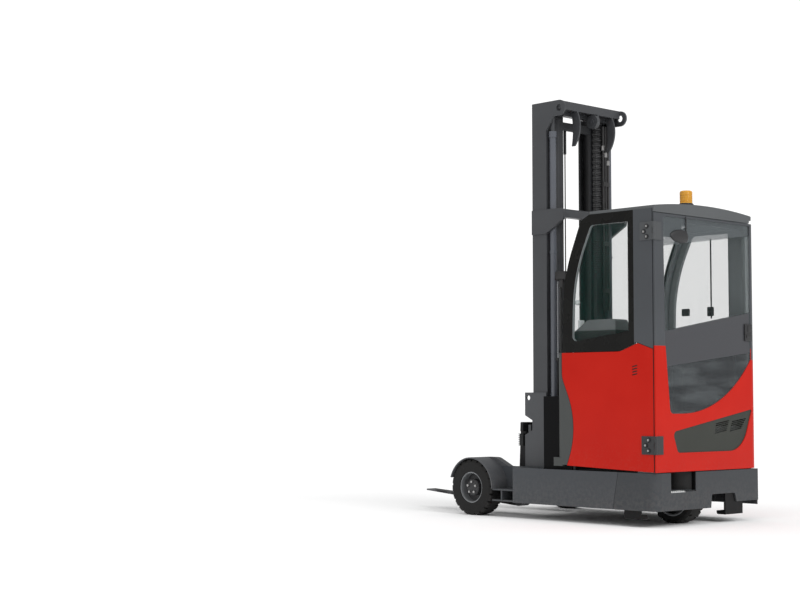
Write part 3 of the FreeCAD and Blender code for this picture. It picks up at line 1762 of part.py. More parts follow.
def outer_mast():
    """Fixed mast rails with the top and middle ties behind them."""
    piece = Piece("outer_mast")
    low = size.carriage_bottom + size.carriage_plate
    high = size.mast_top
    rail_pair(piece, half_mast, size.outer_rail_width, Size.of(0), mast_rear_x, mast_front_x,
              low, high, ("in",))
    web = size.rail_web
    back = mast_rear_x - size.top_tie_stand
    tie = size.tie_depth
    top_low = high - size.tie_height
    end = back - size.eye_reach
    eye = size.eye_height / 2
    arm = [
        (mast_rear_x, high),
        (end, high, eye * 0.99),
        (end, high - size.eye_height, eye * 0.99),
        (back + tie, high - size.eye_height),
        (mast_rear_x, high - size.top_arm_height),
    ]
    mid_high = size.mid_tie_z + size.tie_height / 2
    mid_low = size.mid_tie_z - size.tie_height / 2
    mid_end = back - size.mid_plate_reach
    mid_tail = [
        (mid_end, mid_high, size.tie_height / 2),
        (mid_end, mid_low - size.mid_plate * 2, size.tie_height / 2),
        (mast_rear_x, mid_low - size.mid_arm_drop),
    ]
    mid_arm = [(mast_rear_x, mid_high)] + mid_tail
    mid_plate = [(mast_front_x, mid_high)] + mid_tail + [
        (mast_front_x, mid_low - size.mid_arm_drop)]
    inside = half_mast - web
    for side_low, side_high in ((inside, half_mast), (-half_mast, -inside)):
        piece.pad("Y", side_low, side_high, arm)
        piece.cut("Y", side_low, side_high, circle(end + eye, high - eye, size.eye_hole))
        piece.pad("Y", side_low, side_high, mid_arm)
    # The middle bracket laps round the outside of the rails
    lap = half_mast + size.mid_plate
    for side_low, side_high in ((half_mast, lap), (-lap, -half_mast)):
        piece.pad("Y", side_low, side_high, mid_plate)
    piece.pad("Y", -inside, inside, rectangle(back, top_low, back + tie, high))
    piece.pad("Y", -inside, inside, rectangle(back, mid_low, back + tie, mid_high))
    # Crescent guards under the top tie keep the hoses off it
    guard = [
        (back, top_low),
        bow(size.hook_bow),
        (back + size.hook_lean, top_low - size.hook_height),
        (back + size.hook_lean + size.hook_tip, top_low - size.hook_height),
        bow(-size.hook_inner_bow),
        (back + size.hook_width, top_low),
    ]
    for y in (size.hook_left_y, size.hook_right_y):
        piece.pad("Y", y, y + size.hook_thickness, guard)
    # Hose sheave on its hanger under the tie
    radius = size.sheave_diameter / 2
    sheave_x, sheave_z = back + tie - radius, top_low - radius - size.rail_gap
    face = size.sheave_y
    piece.pad("Y", face, face + size.sheave_width, circle(sheave_x, sheave_z, radius * 2))
    piece.pad("Y", face + size.sheave_width, face + size.sheave_width + size.rail_gap,
              circle(sheave_x, sheave_z, size.sheave_hub))
    piece.pad("Y", face - size.hook_thickness, face, rectangle(
        sheave_x - size.hook_tip, sheave_z - size.hook_tip, back + tie, top_low))
    # Foot plates that carry the lift cylinders behind the rails
    cylinder_x = mast_rear_x - size.lift_cylinder_stand
    reach = size.lift_cylinder_diameter / 2
    foot = rectangle(cylinder_x - reach, lift_cylinder_y - reach, mast_rear_x, half_mast)
    piece.pad("Z", low, low + size.deck_plate, foot, mirrored(foot, "v"))
    return piece


def lift_cylinders():
    """Barrels of the two lift cylinders behind the outer rails."""
    piece = Piece("lift_cylinders")
    low = size.carriage_bottom + size.carriage_plate + size.deck_plate
    x, y = mast_rear_x - size.lift_cylinder_stand, lift_cylinder_y
    high = size.mast_top - size.lift_cylinder_drop
    barrel = circle(x, y, size.lift_cylinder_diameter)
    bore = circle(x, y, size.lift_rod_diameter + size.seat_gap * 2)
    piece.pad("Z", low, high, barrel, mirrored(barrel, "v"))
    ring = circle(x, y, size.lift_cylinder_diameter + size.cylinder_ring * 2)
    for ring_low, ring_high in (
        (size.cylinder_ring_z, size.cylinder_ring_z + size.cylinder_ring_height),
        (high - size.cylinder_ring_height * 3, high),
    ):
        piece.pad("Z", ring_low, ring_high, ring, mirrored(ring, "v"))
    piece.cut("Z", low + size.rim_wall, high, bore, mirrored(bore, "v"))
    return piece


def middle_mast():
    """Second stage: double-channel rails, tie and the rods of the lift cylinders."""
    piece = Piece("middle_mast")
    low = size.carriage_bottom + size.carriage_plate + size.stage_lift
    high = size.mast_top - size.stage_step
    outer_y = half_mast - size.outer_rail_width - size.rail_gap
    width = size.middle_rail_width
    back, front = mast_rear_x + size.rail_gap, mast_front_x - size.rail_gap
    rail_pair(piece, outer_y, width, (width - size.rail_web) / 2, back, front, low, high,
              ("in", "out"))
    tie_front = mast_rear_x - size.rail_gap
    tie_back = tie_front - size.tie_depth
    reach = half_mast - size.rail_web - size.rail_gap
    tie_low = high - size.tie_height
    piece.pad("Z", tie_low, high, rectangle(tie_back, -reach, tie_front, reach))
    for side_low, side_high in ((outer_y - width, outer_y), (-outer_y, -(outer_y - width))):
        piece.pad("Y", side_low, side_high, rectangle(tie_front, tie_low, back, high))
    x, y = mast_rear_x - size.lift_cylinder_stand, lift_cylinder_y
    rod = circle(x, y, size.lift_rod_diameter)
    rod_low = size.carriage_bottom + size.carriage_plate + size.deck_plate + size.rim_wall * 2
    piece.pad("Z", rod_low, tie_low, rod, mirrored(rod, "v"))
    channel = mast_rear_x + size.mast_depth / 2
    web_out = outer_y - (width - size.rail_web) / 2
    roller = size.mast_depth - size.rail_flange * 2 - size.seat_gap * 2
    rollers(piece, channel, low + roller, roller, outer_y + size.running_gap,
            half_mast - size.rail_web - size.rail_gap, web_out)
    return piece


def inner_mast():
    """Third stage, in which the fork carriage runs."""
    piece = Piece("inner_mast")
    low = size.carriage_bottom + size.carriage_plate + size.stage_lift
    high = size.mast_top - size.stage_step * 2
    outer_y = inner_outer_y
    back, front = mast_rear_x + size.rail_gap * 2, mast_front_x - size.rail_gap * 2
    rail_pair(piece, outer_y, size.inner_rail_width, Size.of(0), back, front, low, high, ("in",))
    tie = size.rail_flange
    reach = outer_y - size.inner_rail_width
    for bottom in (low, high - size.tie_height * 2):
        piece.pad("X", back, back + tie,
                  rectangle(-reach, bottom, reach, bottom + size.tie_height))
    foot_z = low + size.tie_height
    piece.pad("Z", low, low + tie, rectangle(back, -reach, front, reach))
    channel = mast_rear_x + size.mast_depth / 2
    middle_web_in = half_mast - size.outer_rail_width - size.rail_gap - (
        size.middle_rail_width + size.rail_web) / 2
    roller = size.mast_depth - (size.rail_flange + size.rail_gap + size.seat_gap) * 2
    rollers(piece, channel, foot_z + roller, roller, outer_y + size.running_gap,
            middle_web_in - size.rail_gap, outer_y)
    return piece


def free_lift_cylinder():
    """Cylinder inside the mast that raises the fork carriage first."""
    piece = Piece("free_lift_cylinder")
    low = size.carriage_bottom + size.carriage_plate + size.stage_lift + size.rail_flange
    x, y = mast_rear_x + size.free_cylinder_stand, free_cylinder_y
    high = size.free_cylinder_top - size.free_head_height
    piece.pad("Z", low, high, circle(x, y, size.free_cylinder_diameter))
    head = size.free_cylinder_diameter * 0.7
    piece.pad("Z", high, size.free_cylinder_top, circle(x, y, head))
    # Hose down from a fitting on the stage's upper tie to a port on the head
    hose_x, hose_y = x - size.free_hose_stand, y + size.free_hose_side
    fitting = size.free_fitting_diameter
    port = size.free_cylinder_top - fitting
    tie_high = size.mast_top - size.stage_step * 2 - size.tie_height
    piece.pad("Z", port, size.free_fitting_low, circle(hose_x, hose_y, size.free_hose_diameter))
    piece.pad("Z", size.free_fitting_low, tie_high, circle(hose_x, hose_y, fitting))
    piece.pad("Z", port - fitting, port, rectangle(
        hose_x - fitting / 2, y, x, hose_y + fitting / 2))
    # Still run of the lift chain behind the barrel
    half = size.lift_chain_width / 2
    front = x - size.free_cylinder_diameter / 2 + size.lift_chain_depth / 4
    back = front - size.lift_chain_depth
    link = size.lift_chain_link
    low = high - size.lift_chain_run
    piece.pad("Z", low, high, rectangle(back + half / 4, y - half / 2, front, y + half / 2))
    plate = piece.pad("Z", low, low + link / 2, rectangle(back, y - half, front, y + half))
    axis = next(f for f in piece.body.Origin.OriginFeatures if f.Role == "Z_Axis")
    count = round((high - low).number / link.number)
    links = piece.repeated("Linear", [plate], (axis, [""]), count)
    links.setExpression("Length", (high - low - link / 2).text)
    return piece


def energy_chain():
    """Ribbed hose guide hanging behind the rails on the right."""
    piece = Piece("energy_chain")
    front = mast_rear_x - size.rail_gap
    back = front - size.chain_depth
    right = chain_y - size.chain_width / 2
    left = chain_y + size.chain_width / 2
    low, high = size.chain_bottom, size.mast_top - size.stage_step - size.tie_height
    core = size.chain_rib
    piece.pad("Z", low, high, rectangle(back + core, right + core, front, left - core))
    rib = piece.pad("Z", low, low + size.chain_rib_height, rectangle(back, right, front, left))
    axis = next(f for f in piece.body.Origin.OriginFeatures if f.Role == "Z_Axis")
    count = round((high - low).number / size.chain_pitch.number)
    ribs = piece.repeated("Linear", [rib], (axis, [""]), count)
    ribs.setExpression("Length", (high - low - size.chain_rib_height).text)
    return piece


def mast_hoses():
    """Hydraulic hoses down the rear of the mast, right of the energy chain."""
    piece = Piece("mast_hoses")
    x = mast_rear_x - size.hose_stand
    high = size.mast_top - size.tie_height - size.tie_height
    for number in range(3):
        y = hose_y - size.hose_pitch * number
        piece.pad("Z", size.hose_bottom, high, circle(x, y, size.hose_diameter))
    half = size.hose_pitch * 1.25
    middle = hose_y - size.hose_pitch
    for drop in (0, size.hose_clamp_middle, size.hose_clamp_pitch):
        z = size.hose_clamp_z - drop
        piece.pad("Z", z, z + size.hose_clamp_height, rectangle(
            x - size.hose_diameter * 0.6, middle - half, x + size.hose_diameter * 0.6,
            middle + half))
    tie_back = mast_rear_x - size.top_tie_stand + size.tie_depth
    piece.pad("Z", size.mid_tie_z - size.hose_clamp_height, size.mid_tie_z + size.hose_clamp_height,
              rectangle(tie_back, middle - half, x, middle + half))
    return piece


def tilted(x, z):
    """A point of the fork plate, leant back about the plate's hinge."""
    along, up = x - tilt_x, z - tilt_z
    lean_cos, lean_sin = cosine(size.fork_lean), sine(size.fork_lean)
    return (tilt_x + along * lean_cos - up * lean_sin, tilt_z + along * lean_sin + up * lean_cos)


def fork_carriage():
    """Side plates with rollers in the inner rails, and the cross beams in front."""
    piece = Piece("fork_carriage")
    channel = mast_rear_x + size.mast_depth / 2
    outer = inner_outer_y - size.inner_rail_width - size.running_gap
    inner = outer - size.carriage_side_plate
    start = channel + size.carriage_side_offset
    beam_back = mast_front_x + size.carriage_beam_gap
    beam_front = beam_back + size.carriage_beam_depth
    low, high = size.fork_carriage_bottom, size.fork_carriage_top
    side = [(start, low), (beam_front, low), (beam_front, high), (start, high)]
    for side_low, side_high in ((inner, outer), (-outer, -inner)):
        piece.pad("Y", side_low, side_high, side)
    half = fork_plate_half
    beam = size.carriage_beam_height
    for bottom in (low, high - beam):
        piece.pad("Z", bottom, bottom + beam, rectangle(beam_back, -half, beam_front, half))
    diameter = size.mast_depth - (size.rail_flange + size.rail_gap * 2 + size.seat_gap) * 2
    web_in = inner_outer_y - size.rail_web
    for z in (low + diameter, high - diameter):
        rollers(piece, channel, z, diameter, outer, web_in - size.running_gap, inner)
    # Ears that carry the hinge of the fork plate
    ear = size.hinge_ear_width
    for y in (-half / 2, half / 2):
        piece.pad("Y", y - ear / 2, y + ear / 2, [
            (beam_front, tilt_z - ear),
            (tilt_x + ear, tilt_z - ear, ear * 0.9),
            (tilt_x + ear, tilt_z + ear, ear * 0.9),
            (beam_front, tilt_z + ear),
        ])
        piece.pad("Y", y - ear * 1.5, y + ear * 1.5, circle(tilt_x, tilt_z, size.tilt_pin_diameter))
    return piece


def fork_plate():
    """Plate that carries the forks and tilts about a hinge on the carriage."""
    piece = Piece("fork_plate")
    half = fork_plate_half
    back = tilt_x + size.hinge_ear_width + size.running_gap
    front = back + size.fork_plate_thickness
    low, high = size.fork_plate_bottom, size.fork_plate_bottom + size.fork_plate_height
    bar = size.fork_bar_height
    for bottom, top in ((low, low + bar), (high - bar, high)):
        piece.pad("Y", -half, half, [
            tilted(back, bottom), tilted(front, bottom), tilted(front, top), tilted(back, top)])
    post = size.fork_plate_post
    for y in (-half + post, -post / 2, half - post * 2):
        piece.pad("Y", y, y + post, [
            tilted(back, low), tilted(front - bar / 8, low),
            tilted(front - bar / 8, high), tilted(back, high)])
    ear = size.hinge_ear_width
    bore = size.tilt_pin_diameter + size.seat_gap * 2
    for y in (-half / 2, half / 2):
        for side in (-1, 1):
            middle = y + side * (ear + size.hinge_play)
            piece.pad("Y", middle - ear / 2, middle + ear / 2, [
                tilted(back, tilt_z - ear),
                tilted(back, tilt_z + ear),
                tilted(tilt_x - ear * 0.8, tilt_z + ear),
                tilted(tilt_x - ear * 0.8, tilt_z - ear),
            ])
            piece.cut("Y", middle - ear / 2, middle + ear / 2, circle(tilt_x, tilt_z, bore))
    return piece


def forks():
    """Two forged forks hung on the plate, blades tapering to the tip."""
    piece = Piece("forks")
    face = tilt_x + size.hinge_ear_width + size.running_gap + size.fork_plate_thickness
    thick, tip = size.fork_thickness, size.fork_tip
    heel_z = size.fork_heel_z
    top = size.fork_plate_bottom + size.fork_plate_height
    end = face + thick + size.fork_length
    for middle in (-size.fork_spread / 2, size.fork_spread / 2):
        low, high = middle - size.fork_width / 2, middle + size.fork_width / 2
        piece.pad("Y", low, high, [
            tilted(face, top),
            tilted(face, heel_z) + (thick,),
            tilted(end, heel_z + thick - tip),
            tilted(end, heel_z + thick),
            tilted(face + thick, heel_z + thick) + (thick / 2,),
            tilted(face + thick, top),
        ])
    return piece


# Places that the functions above share
roof_underside = size.roof_edge_z - size.roof_edge_height
battery_top = size.battery_bottom + size.battery_height
hinge_x = rear - size.hinge_axis_out
hinge_y = half_width + size.hinge_axis_out
tilt_x = mast_front_x + size.carriage_beam_gap + size.carriage_beam_depth + size.tilt_offset
tilt_z = size.tilt_hinge_z
reach_barrel_x = mast_slot_x - size.reach_travel - size.reach_overlap
steer_sweep = root(size.drive_wheel_diameter * size.drive_wheel_diameter / 4
                   + size.drive_wheel_width * size.drive_wheel_width / 4)

BUILDERS = (
    chassis_frame, rear_skirt, stop_feet, battery, fenders, load_axles,
    drive_unit, drive_tyre, drive_rim, side_panels, front_cover, cab_frame, roof,
    window_frames, cab_glass, cab_floor, seat_plinth, seat_cushion,
    seat_back, console, steering_wheel, beacon_base, beacon_lens, cab_hinges,
    door_frame, door_skin, door_glass, door_grille, door_hinges,
    reach_cylinder, reach_carriage, outer_mast, lift_cylinders, mast_hoses,
    middle_mast, energy_chain, inner_mast, free_lift_cylinder,
    fork_carriage, fork_plate, forks,
)
pieces = [builder() for builder in BUILDERS]
for name, side in (("left", 1), ("right", -1)):
    pieces.append(load_tyre(f"{name}_tyre", side))
    pieces.append(load_rim(f"{name}_rim", side))


def check(document, parts):
    """Stop if a feature failed or a sub-part is empty, broken or cut by nothing."""
    faults = []
    for item in document.Objects:
        if "Invalid" in item.State or "Error" in item.State:
            faults.append(f"{item.Name} did not build")
    for piece in parts:
        shape = piece.body.Shape
        if shape.isNull() or not shape.isValid() or shape.Volume <= 0:
            faults.append(f"{piece.label} is not a valid solid")
            continue
        for feature in piece.body.Group:
            if feature.TypeId in ("PartDesign::Pocket", "PartDesign::Groove"):
                if feature.Shape.Volume >= feature.BaseFeature.Shape.Volume - 0.001:
                    faults.append(f"{feature.Name} cuts nothing")
    if faults:
        raise RuntimeError("; ".join(faults))


doc.recompute()
check(doc, pieces)
os.makedirs("parts", exist_ok=True)
for piece in pieces:
    piece.body.Shape.exportStep(f"parts/{piece.label}.step")
print(f"{len(pieces)} sub-parts written")
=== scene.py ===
import math

import bpy
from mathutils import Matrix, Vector


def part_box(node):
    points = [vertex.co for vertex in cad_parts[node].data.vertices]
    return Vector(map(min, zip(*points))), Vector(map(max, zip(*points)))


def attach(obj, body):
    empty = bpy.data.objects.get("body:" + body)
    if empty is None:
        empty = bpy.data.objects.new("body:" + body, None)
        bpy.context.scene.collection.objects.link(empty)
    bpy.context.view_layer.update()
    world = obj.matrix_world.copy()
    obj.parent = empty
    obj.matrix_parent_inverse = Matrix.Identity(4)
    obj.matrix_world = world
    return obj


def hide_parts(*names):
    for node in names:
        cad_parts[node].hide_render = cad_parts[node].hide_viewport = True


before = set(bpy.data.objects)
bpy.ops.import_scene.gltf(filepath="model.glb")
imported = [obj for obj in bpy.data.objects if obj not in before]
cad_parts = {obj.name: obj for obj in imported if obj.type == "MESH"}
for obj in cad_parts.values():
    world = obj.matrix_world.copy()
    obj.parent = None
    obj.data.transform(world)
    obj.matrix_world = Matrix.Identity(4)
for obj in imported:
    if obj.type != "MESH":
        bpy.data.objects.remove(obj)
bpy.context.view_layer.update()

# Chassis plates, legs and skirt. Cut and welded steel plate, primed and sprayed in a
# satin blue-grey with a fine peel, dusty low down. Shade is painted near black inside the
# drive bay, and in the step of the skirt, over its bare toothed tread.


class Wire:
    """An output socket of a material. Sums and products of wires add Math nodes."""

    def __init__(self, tree, socket=None):
        self.tree = tree
        self.socket = socket

    def node(self, kind, settings=None, inputs=None, output=0):
        """Add a node: its settings first, then the values or wires of its sockets."""
        made = self.tree.nodes.new("ShaderNode" + kind)
        for name, value in (settings or {}).items():
            setattr(made, name, value)
        for name, value in (inputs or {}).items():
            if isinstance(value, Wire):
                self.tree.links.new(value.socket, made.inputs[name])
            else:
                made.inputs[name].default_value = value
        return Wire(self.tree, made.outputs[output])

    def math(self, operation, first, second=0.5):
        return self.node("Math", {"operation": operation}, {0: first, 1: second})

    def __add__(self, other):
        return self.math("ADD", self, other)

    def __radd__(self, other):
        return self.math("ADD", other, self)

    def __sub__(self, other):
        return self.math("SUBTRACT", self, other)

    def __rsub__(self, other):
        return self.math("SUBTRACT", other, self)

    def __mul__(self, other):
        return self.math("MULTIPLY", self, other)

    def __rmul__(self, other):
        return self.math("MULTIPLY", other, self)

    def size(self):
        """The wire without its sign."""
        return self.math("ABSOLUTE", self)

    def root(self):
        return self.math("SQRT", self)

    def sine(self):
        return self.math("SINE", self)

    def larger(self, other):
        """The larger of this wire and another wire or number."""
        return self.math("MAXIMUM", self, other)

    def above(self, level, soft):
        """From 0 to 1 as the wire rises through level, over a run of soft."""
        return self.node("MapRange", {"interpolation_type": "SMOOTHSTEP"}, {
            "Value": self, "From Min": level - soft / 2, "From Max": level + soft / 2})

    def below(self, level, soft):
        """From 1 to 0 as the wire rises through level, over a run of soft."""
        return 1 - self.above(level, soft)

    def colours(self, low, high):
        """From colour low to colour high as the wire goes from 0 to 1."""
        return self.node("Mix", {"data_type": "RGBA"}, {0: self, 6: low, 7: high}, output=2)


class Finish:
    """A material and the places on the object that its patterns are read from."""

    def __init__(self, name, **surface):
        self.material = bpy.data.materials.new(name)
        self.material.use_nodes = True
        tree = self.material.node_tree
        self.tree = tree
        self.surface = tree.nodes["Principled BSDF"]
        for socket, value in surface.items():
            self.surface.inputs[socket.replace("_", " ")].default_value = value
        start = Wire(tree)
        self.place = start.node("TexCoord", output=3)
        split = tree.nodes.new("ShaderNodeSeparateXYZ")
        tree.links.new(self.place.socket, split.inputs[0])
        self.x, self.y, self.z = (Wire(tree, output) for output in split.outputs)

    def noise(self, scale, detail=3.0, rough=0.5, stretch=None):
        """Clouds or specks, scale of them to the metre. A stretch under 1 draws them out."""
        place = self.place
        if stretch:
            place = place.node("Mapping", inputs={"Vector": place, "Scale": stretch})
        return place.node("TexNoise", inputs={
            "Vector": place, "Scale": scale, "Detail": detail, "Roughness": rough})

    def give(self, **wires):
        """Let wires vary the surface, each named for its socket."""
        for socket, wire in wires.items():
            self.tree.links.new(wire.socket, self.surface.inputs[socket.replace("_", " ")])
        return self

    def repaint(self, where, colour):
        """Lay another colour over the base colour where the wire is 1."""
        base = self.surface.inputs["Base Color"]
        under = Wire(self.tree, base.links[0].from_socket)
        return self.give(Base_Color=where.colours(under, colour))

    def bump(self, height, strength, distance):
        """Relief, distance metres high at full strength where the wire goes from 0 to 1."""
        relief = height.node("Bump", inputs={
            "Strength": strength, "Distance": distance, "Height": height})
        return self.give(Normal=relief)


def tone(colour, factor):
    """An opaque colour, lighter or darker than the one given."""
    return tuple(min(1.0, part * factor) for part in colour) + (1.0,)


floor_dust = (0.22, 0.20, 0.18, 1.0)
dust_height = 0.22
clouding = 0.14


def sprayed_steel(name, colour, roughness, dust, peel=0.15, shine=0.4):
    """Sprayed steel: faint clouding, fine peel, and dust that gathers near the floor."""
    made = Finish(name, Specular_IOR_Level=shine)
    cloud = made.noise(2.4, 5.0)
    spots = made.noise(38.0, 4.0, 0.65)
    low_down = made.z.below(dust_height, 0.5)
    settled = (spots.above(0.52, 0.4) * low_down + spots.above(0.70, 0.1) * 0.10) * dust
    clean = cloud.colours(tone(colour, 1 - clouding), tone(colour, 1 + clouding))
    made.give(
        Base_Color=settled.colours(clean, floor_dust),
        Roughness=roughness + (cloud - 0.5) * 0.18 + settled * 0.3,
    )
    return made.bump(made.noise(260.0, 2.0), peel, 0.0006)


def wear(material, *names):
    """Give CAD pieces this material in place of their plain one."""
    for name in names:
        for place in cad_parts[name].material_slots:
            place.material = material


chassis_blue = (0.046, 0.051, 0.058)
bay_shade = (0.003, 0.003, 0.003, 1.0)
paint_edge = 0.004
bay_front_x, bay_side_y, bay_top_z = -0.93, 0.60, 0.378
chassis_paint = sprayed_steel("chassis_paint", chassis_blue, 0.46, dust=0.22)
# Shade painted near black inside the drive bay.
in_bay = chassis_paint.x.below(bay_front_x, 0.01) * chassis_paint.z.below(bay_top_z, paint_edge)
in_bay = in_bay * chassis_paint.y.size().below(bay_side_y, paint_edge)
chassis_paint.repaint(in_bay, bay_shade)
wear(chassis_paint.material, "chassis_frame")

skirt_blue = (0.034, 0.038, 0.043)
step_shade = (0.0015, 0.0015, 0.0015, 1.0)
bare_teeth = (0.55, 0.56, 0.56, 1.0)
step_mouth_x, step_right_y, step_left_y = -1.343, 0.150, 0.458
teeth_right_y, teeth_low_z, tread_z = 0.290, 0.249, 0.263
skirt_paint = sprayed_steel("skirt_paint", skirt_blue, 0.46, dust=0.20)
# Shade painted near black in the recess of the step, above its toothed tread.
in_step = (skirt_paint.x.above(step_mouth_x, paint_edge)
           * skirt_paint.y.above(step_right_y, paint_edge)
           * skirt_paint.y.below(step_left_y, paint_edge)
           * skirt_paint.z.above(tread_z, paint_edge / 2))
on_teeth = (skirt_paint.z.below(tread_z, paint_edge / 2)
            * skirt_paint.z.above(teeth_low_z, paint_edge / 2)
            * skirt_paint.y.above(teeth_right_y, paint_edge)
            * skirt_paint.y.below(step_left_y, paint_edge))
skirt_paint.repaint(in_step, step_shade)
skirt_paint.repaint(on_teeth, bare_teeth)
wear(skirt_paint.material, "rear_skirt")

# Stop feet, forks and the plate that carries them. Thick flame-cut or forged steel in
# black enamel, rubbed to grey metal where loads and floors scrape it.

bare_steel = (0.20, 0.20, 0.21, 1.0)


def rubbed_black(name, top, black=0.018):
    """Black enamel, scraped to streaks of bare steel below the height top."""
    made = Finish(name, Specular_IOR_Level=0.2)
    streak = made.noise(14.0, 6.0, 0.7, stretch=(0.35, 1.0, 1.0))
    scrape = streak.above(0.56, 0.12) * made.z.below(top, 0.10)
    patch = made.noise(5.0, 3.0)
    made.give(
        Base_Color=scrape.colours((black, black, black * 1.1, 1.0), bare_steel),
        Metallic=scrape * 0.9,
        Roughness=0.38 + patch * 0.15 - scrape * 0.08,
    )
    return made.bump(streak, 0.2, 0.0008)


wear(rubbed_black("fork_black", top=0.17).material, "forks")
wear(rubbed_black("plate_black", top=0.05).material, "fork_plate")
wear(rubbed_black("foot_black", top=0.0, black=0.006).material, "stop_feet")

# Battery. A welded steel box, dipped in matt acid-proof black, slid in between the
# cab and the mast on rollers.

battery_black = sprayed_steel(
    "battery_black", (0.004, 0.004, 0.0045), 0.62, dust=0.04, shine=0.10)
wear(battery_black.material, "battery")

# Load wheels. Solid rubber pressed on a steel rim, carried on a stub axle by a ring of
# nuts round a cap.

# The rate of a wave is in radians to the metre, here and in later materials.
mould_ring_rate = 900.0
tread_depth = 0.012


def from_axle(made, axle_x, axle_z):
    """How far the surface is from an axle that runs across the truck."""
    along = made.x - axle_x
    up = made.z - axle_z
    return (along * along + up * up).root()


def tread_rubber(name, axle_x, axle_z, rim_radius, outer_radius):
    """Rubber: dusty on the tread, darker and smoother on the side walls."""
    made = Finish(name, Specular_IOR_Level=0.28)
    radius = from_axle(made, axle_x, axle_z)
    speck = made.noise(90.0, 4.0, 0.7)
    cloud = made.noise(7.0, 4.0)
    tread = radius.above(outer_radius - tread_depth, 0.014)
    grey = speck * 0.35 + cloud * 0.35 + tread * 0.35
    made.give(
        Base_Color=grey.colours((0.003, 0.003, 0.0032, 1.0), (0.026, 0.0255, 0.0245, 1.0)),
        Roughness=0.62 + grey * 0.22,
    )
    ring = ((radius - rim_radius) * mould_ring_rate).sine()
    wall = (1 - tread) * radius.above(rim_radius + 0.015, 0.01)
    return made.bump(speck * 0.4 + ring * wall * 0.3, 0.5, 0.0009)


load_x, load_radius, load_rim_radius = 0.500, 0.220, 0.123
load_rubber = tread_rubber("load_rubber", load_x, load_radius, load_rim_radius, load_radius)
wear(load_rubber.material, "left_tyre", "right_tyre")

ring_width = 0.010


def rim_steel(name, axle_x, axle_z, rim_radius):
    """Black steel inside, rubbed bright on the ring where the tyre's edge sits."""
    made = Finish(name, Specular_IOR_Level=0.3)
    cloud = made.noise(24.0, 5.0, 0.65)
    ring = from_axle(made, axle_x, axle_z).above(rim_radius - ring_width, 0.004)
    made.give(
        Base_Color=cloud.colours((0.022, 0.022, 0.024, 1.0), (0.060, 0.060, 0.062, 1.0)),
        Metallic=ring * 0.5,
        Roughness=0.36 + cloud * 0.2,
    ).bump(cloud, 0.25, 0.0008)
    return made.repaint(ring, (0.26, 0.27, 0.28, 1.0))


load_rim = rim_steel("load_rim", load_x, load_radius, load_rim_radius)
wear(load_rim.material, "left_rim", "right_rim")

zinc = Finish("zinc_bolts", Metallic=1.0)
zinc_grain = zinc.noise(180.0, 3.0)
zinc.give(
    Base_Color=zinc_grain.colours((0.36, 0.36, 0.37, 1.0), (0.58, 0.57, 0.55, 1.0)),
    Roughness=0.28 + zinc_grain * 0.2,
)


def clear_selection():
    """Deselect everything, because an operator acts on all that is selected."""
    bpy.ops.object.select_all(action="DESELECT")


def settle(piece):
    """Bring a finished piece's place into its mesh, so that its object is at the origin."""
    clear_selection()
    piece.select_set(True)
    bpy.context.view_layer.objects.active = piece
    bpy.ops.object.transform_apply(location=True, rotation=True, scale=True)
    return piece


def bolt_head(width, height, place, facing):
    """A hexagon head with a chamfered, dished top, standing on place and facing outwards."""
    chamfer, rise = width * 0.09, height * 0.16
    rim, dish = width * 0.05, height * 0.05
    clear_selection()
    bpy.ops.mesh.primitive_cylinder_add(vertices=6, radius=width / 2, depth=height)
    head = bpy.context.object
    bpy.ops.object.mode_set(mode="EDIT")
    bpy.ops.mesh.select_mode(type="FACE")
    bpy.ops.mesh.select_all(action="DESELECT")
    bpy.ops.object.mode_set(mode="OBJECT")
    for face in head.data.polygons:
        face.select = face.normal.z > 0.9
    bpy.ops.object.mode_set(mode="EDIT")
    bpy.ops.mesh.inset(thickness=chamfer, depth=0)
    bpy.ops.transform.translate(value=(0, 0, rise))
    bpy.ops.mesh.inset(thickness=rim, depth=-dish)
    bpy.ops.object.mode_set(mode="OBJECT")
    turn = Vector((0, 0, 1)).rotation_difference(Vector(facing))
    head.rotation_mode = "QUATERNION"
    head.rotation_quaternion = turn
    head.location = Vector(place) + Vector(facing) * height / 2
    return settle(head)


def joined(name, parts, material, body):
    """Join like parts on one body into a single piece, with its finish and ride."""
    clear_selection()
    for part in parts:
        part.select_set(True)
    whole = bpy.context.view_layer.objects.active = parts[0]
    if len(parts) > 1:
        bpy.ops.object.join()
    whole.name = name
    whole.data.materials.clear()
    whole.data.materials.append(material.material)
    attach(whole, body)
    return whole


nut_count, nut_circle = 5, 0.044
nut_width, nut_height = 0.022, 0.014
hub_face_y, hub_dish = 0.6285, 0.012
for side, sign in (("left", 1), ("right", -1)):
    nuts = []
    for number in range(nut_count):
        angle = math.radians(360 / nut_count * number + 90)
        place = (load_x + nut_circle * math.cos(angle), sign * (hub_face_y - hub_dish),
                 load_radius + nut_circle * math.sin(angle))
        nuts.append(bolt_head(nut_width, nut_height, place, (0, sign, 0)))
    joined(f"{side}_wheel_nuts", nuts, zinc, f"{side}_wheel")

# Drive unit. A cast gear arm under a machined turntable, with the motor on top, and a
# rubber-tyred wheel in the arm.

cast_grey = sprayed_steel("cast_grey", (0.10, 0.105, 0.11), 0.6, dust=0.3, peel=0.6)
wear(cast_grey.material, "drive_unit", "load_axles")
steer_x, drive_radius, drive_rim_radius = -1.105, 0.203, 0.150
drive_rubber = tread_rubber("drive_rubber", steer_x, drive_radius, drive_rim_radius, drive_radius)
wear(drive_rubber.material, "drive_tyre")
drive_rim = rim_steel("steered_rim", steer_x, drive_radius, drive_rim_radius)
wear(drive_rim.material, "drive_rim")

# Fenders over the load wheels. Rolled and welded sheet steel, sprayed in the grey of the
# mast and bolted to the legs.

mast_grey = (0.070, 0.073, 0.079)
mast_paint = sprayed_steel("mast_paint", mast_grey, 0.40, dust=0.30)
wear(mast_paint.material, "fenders")

# Red side panels and the red lower half of the door. Moulded plastic with the colour
# sprayed on and lacquered, so that it shines over a slight ripple. Bare grey inside.

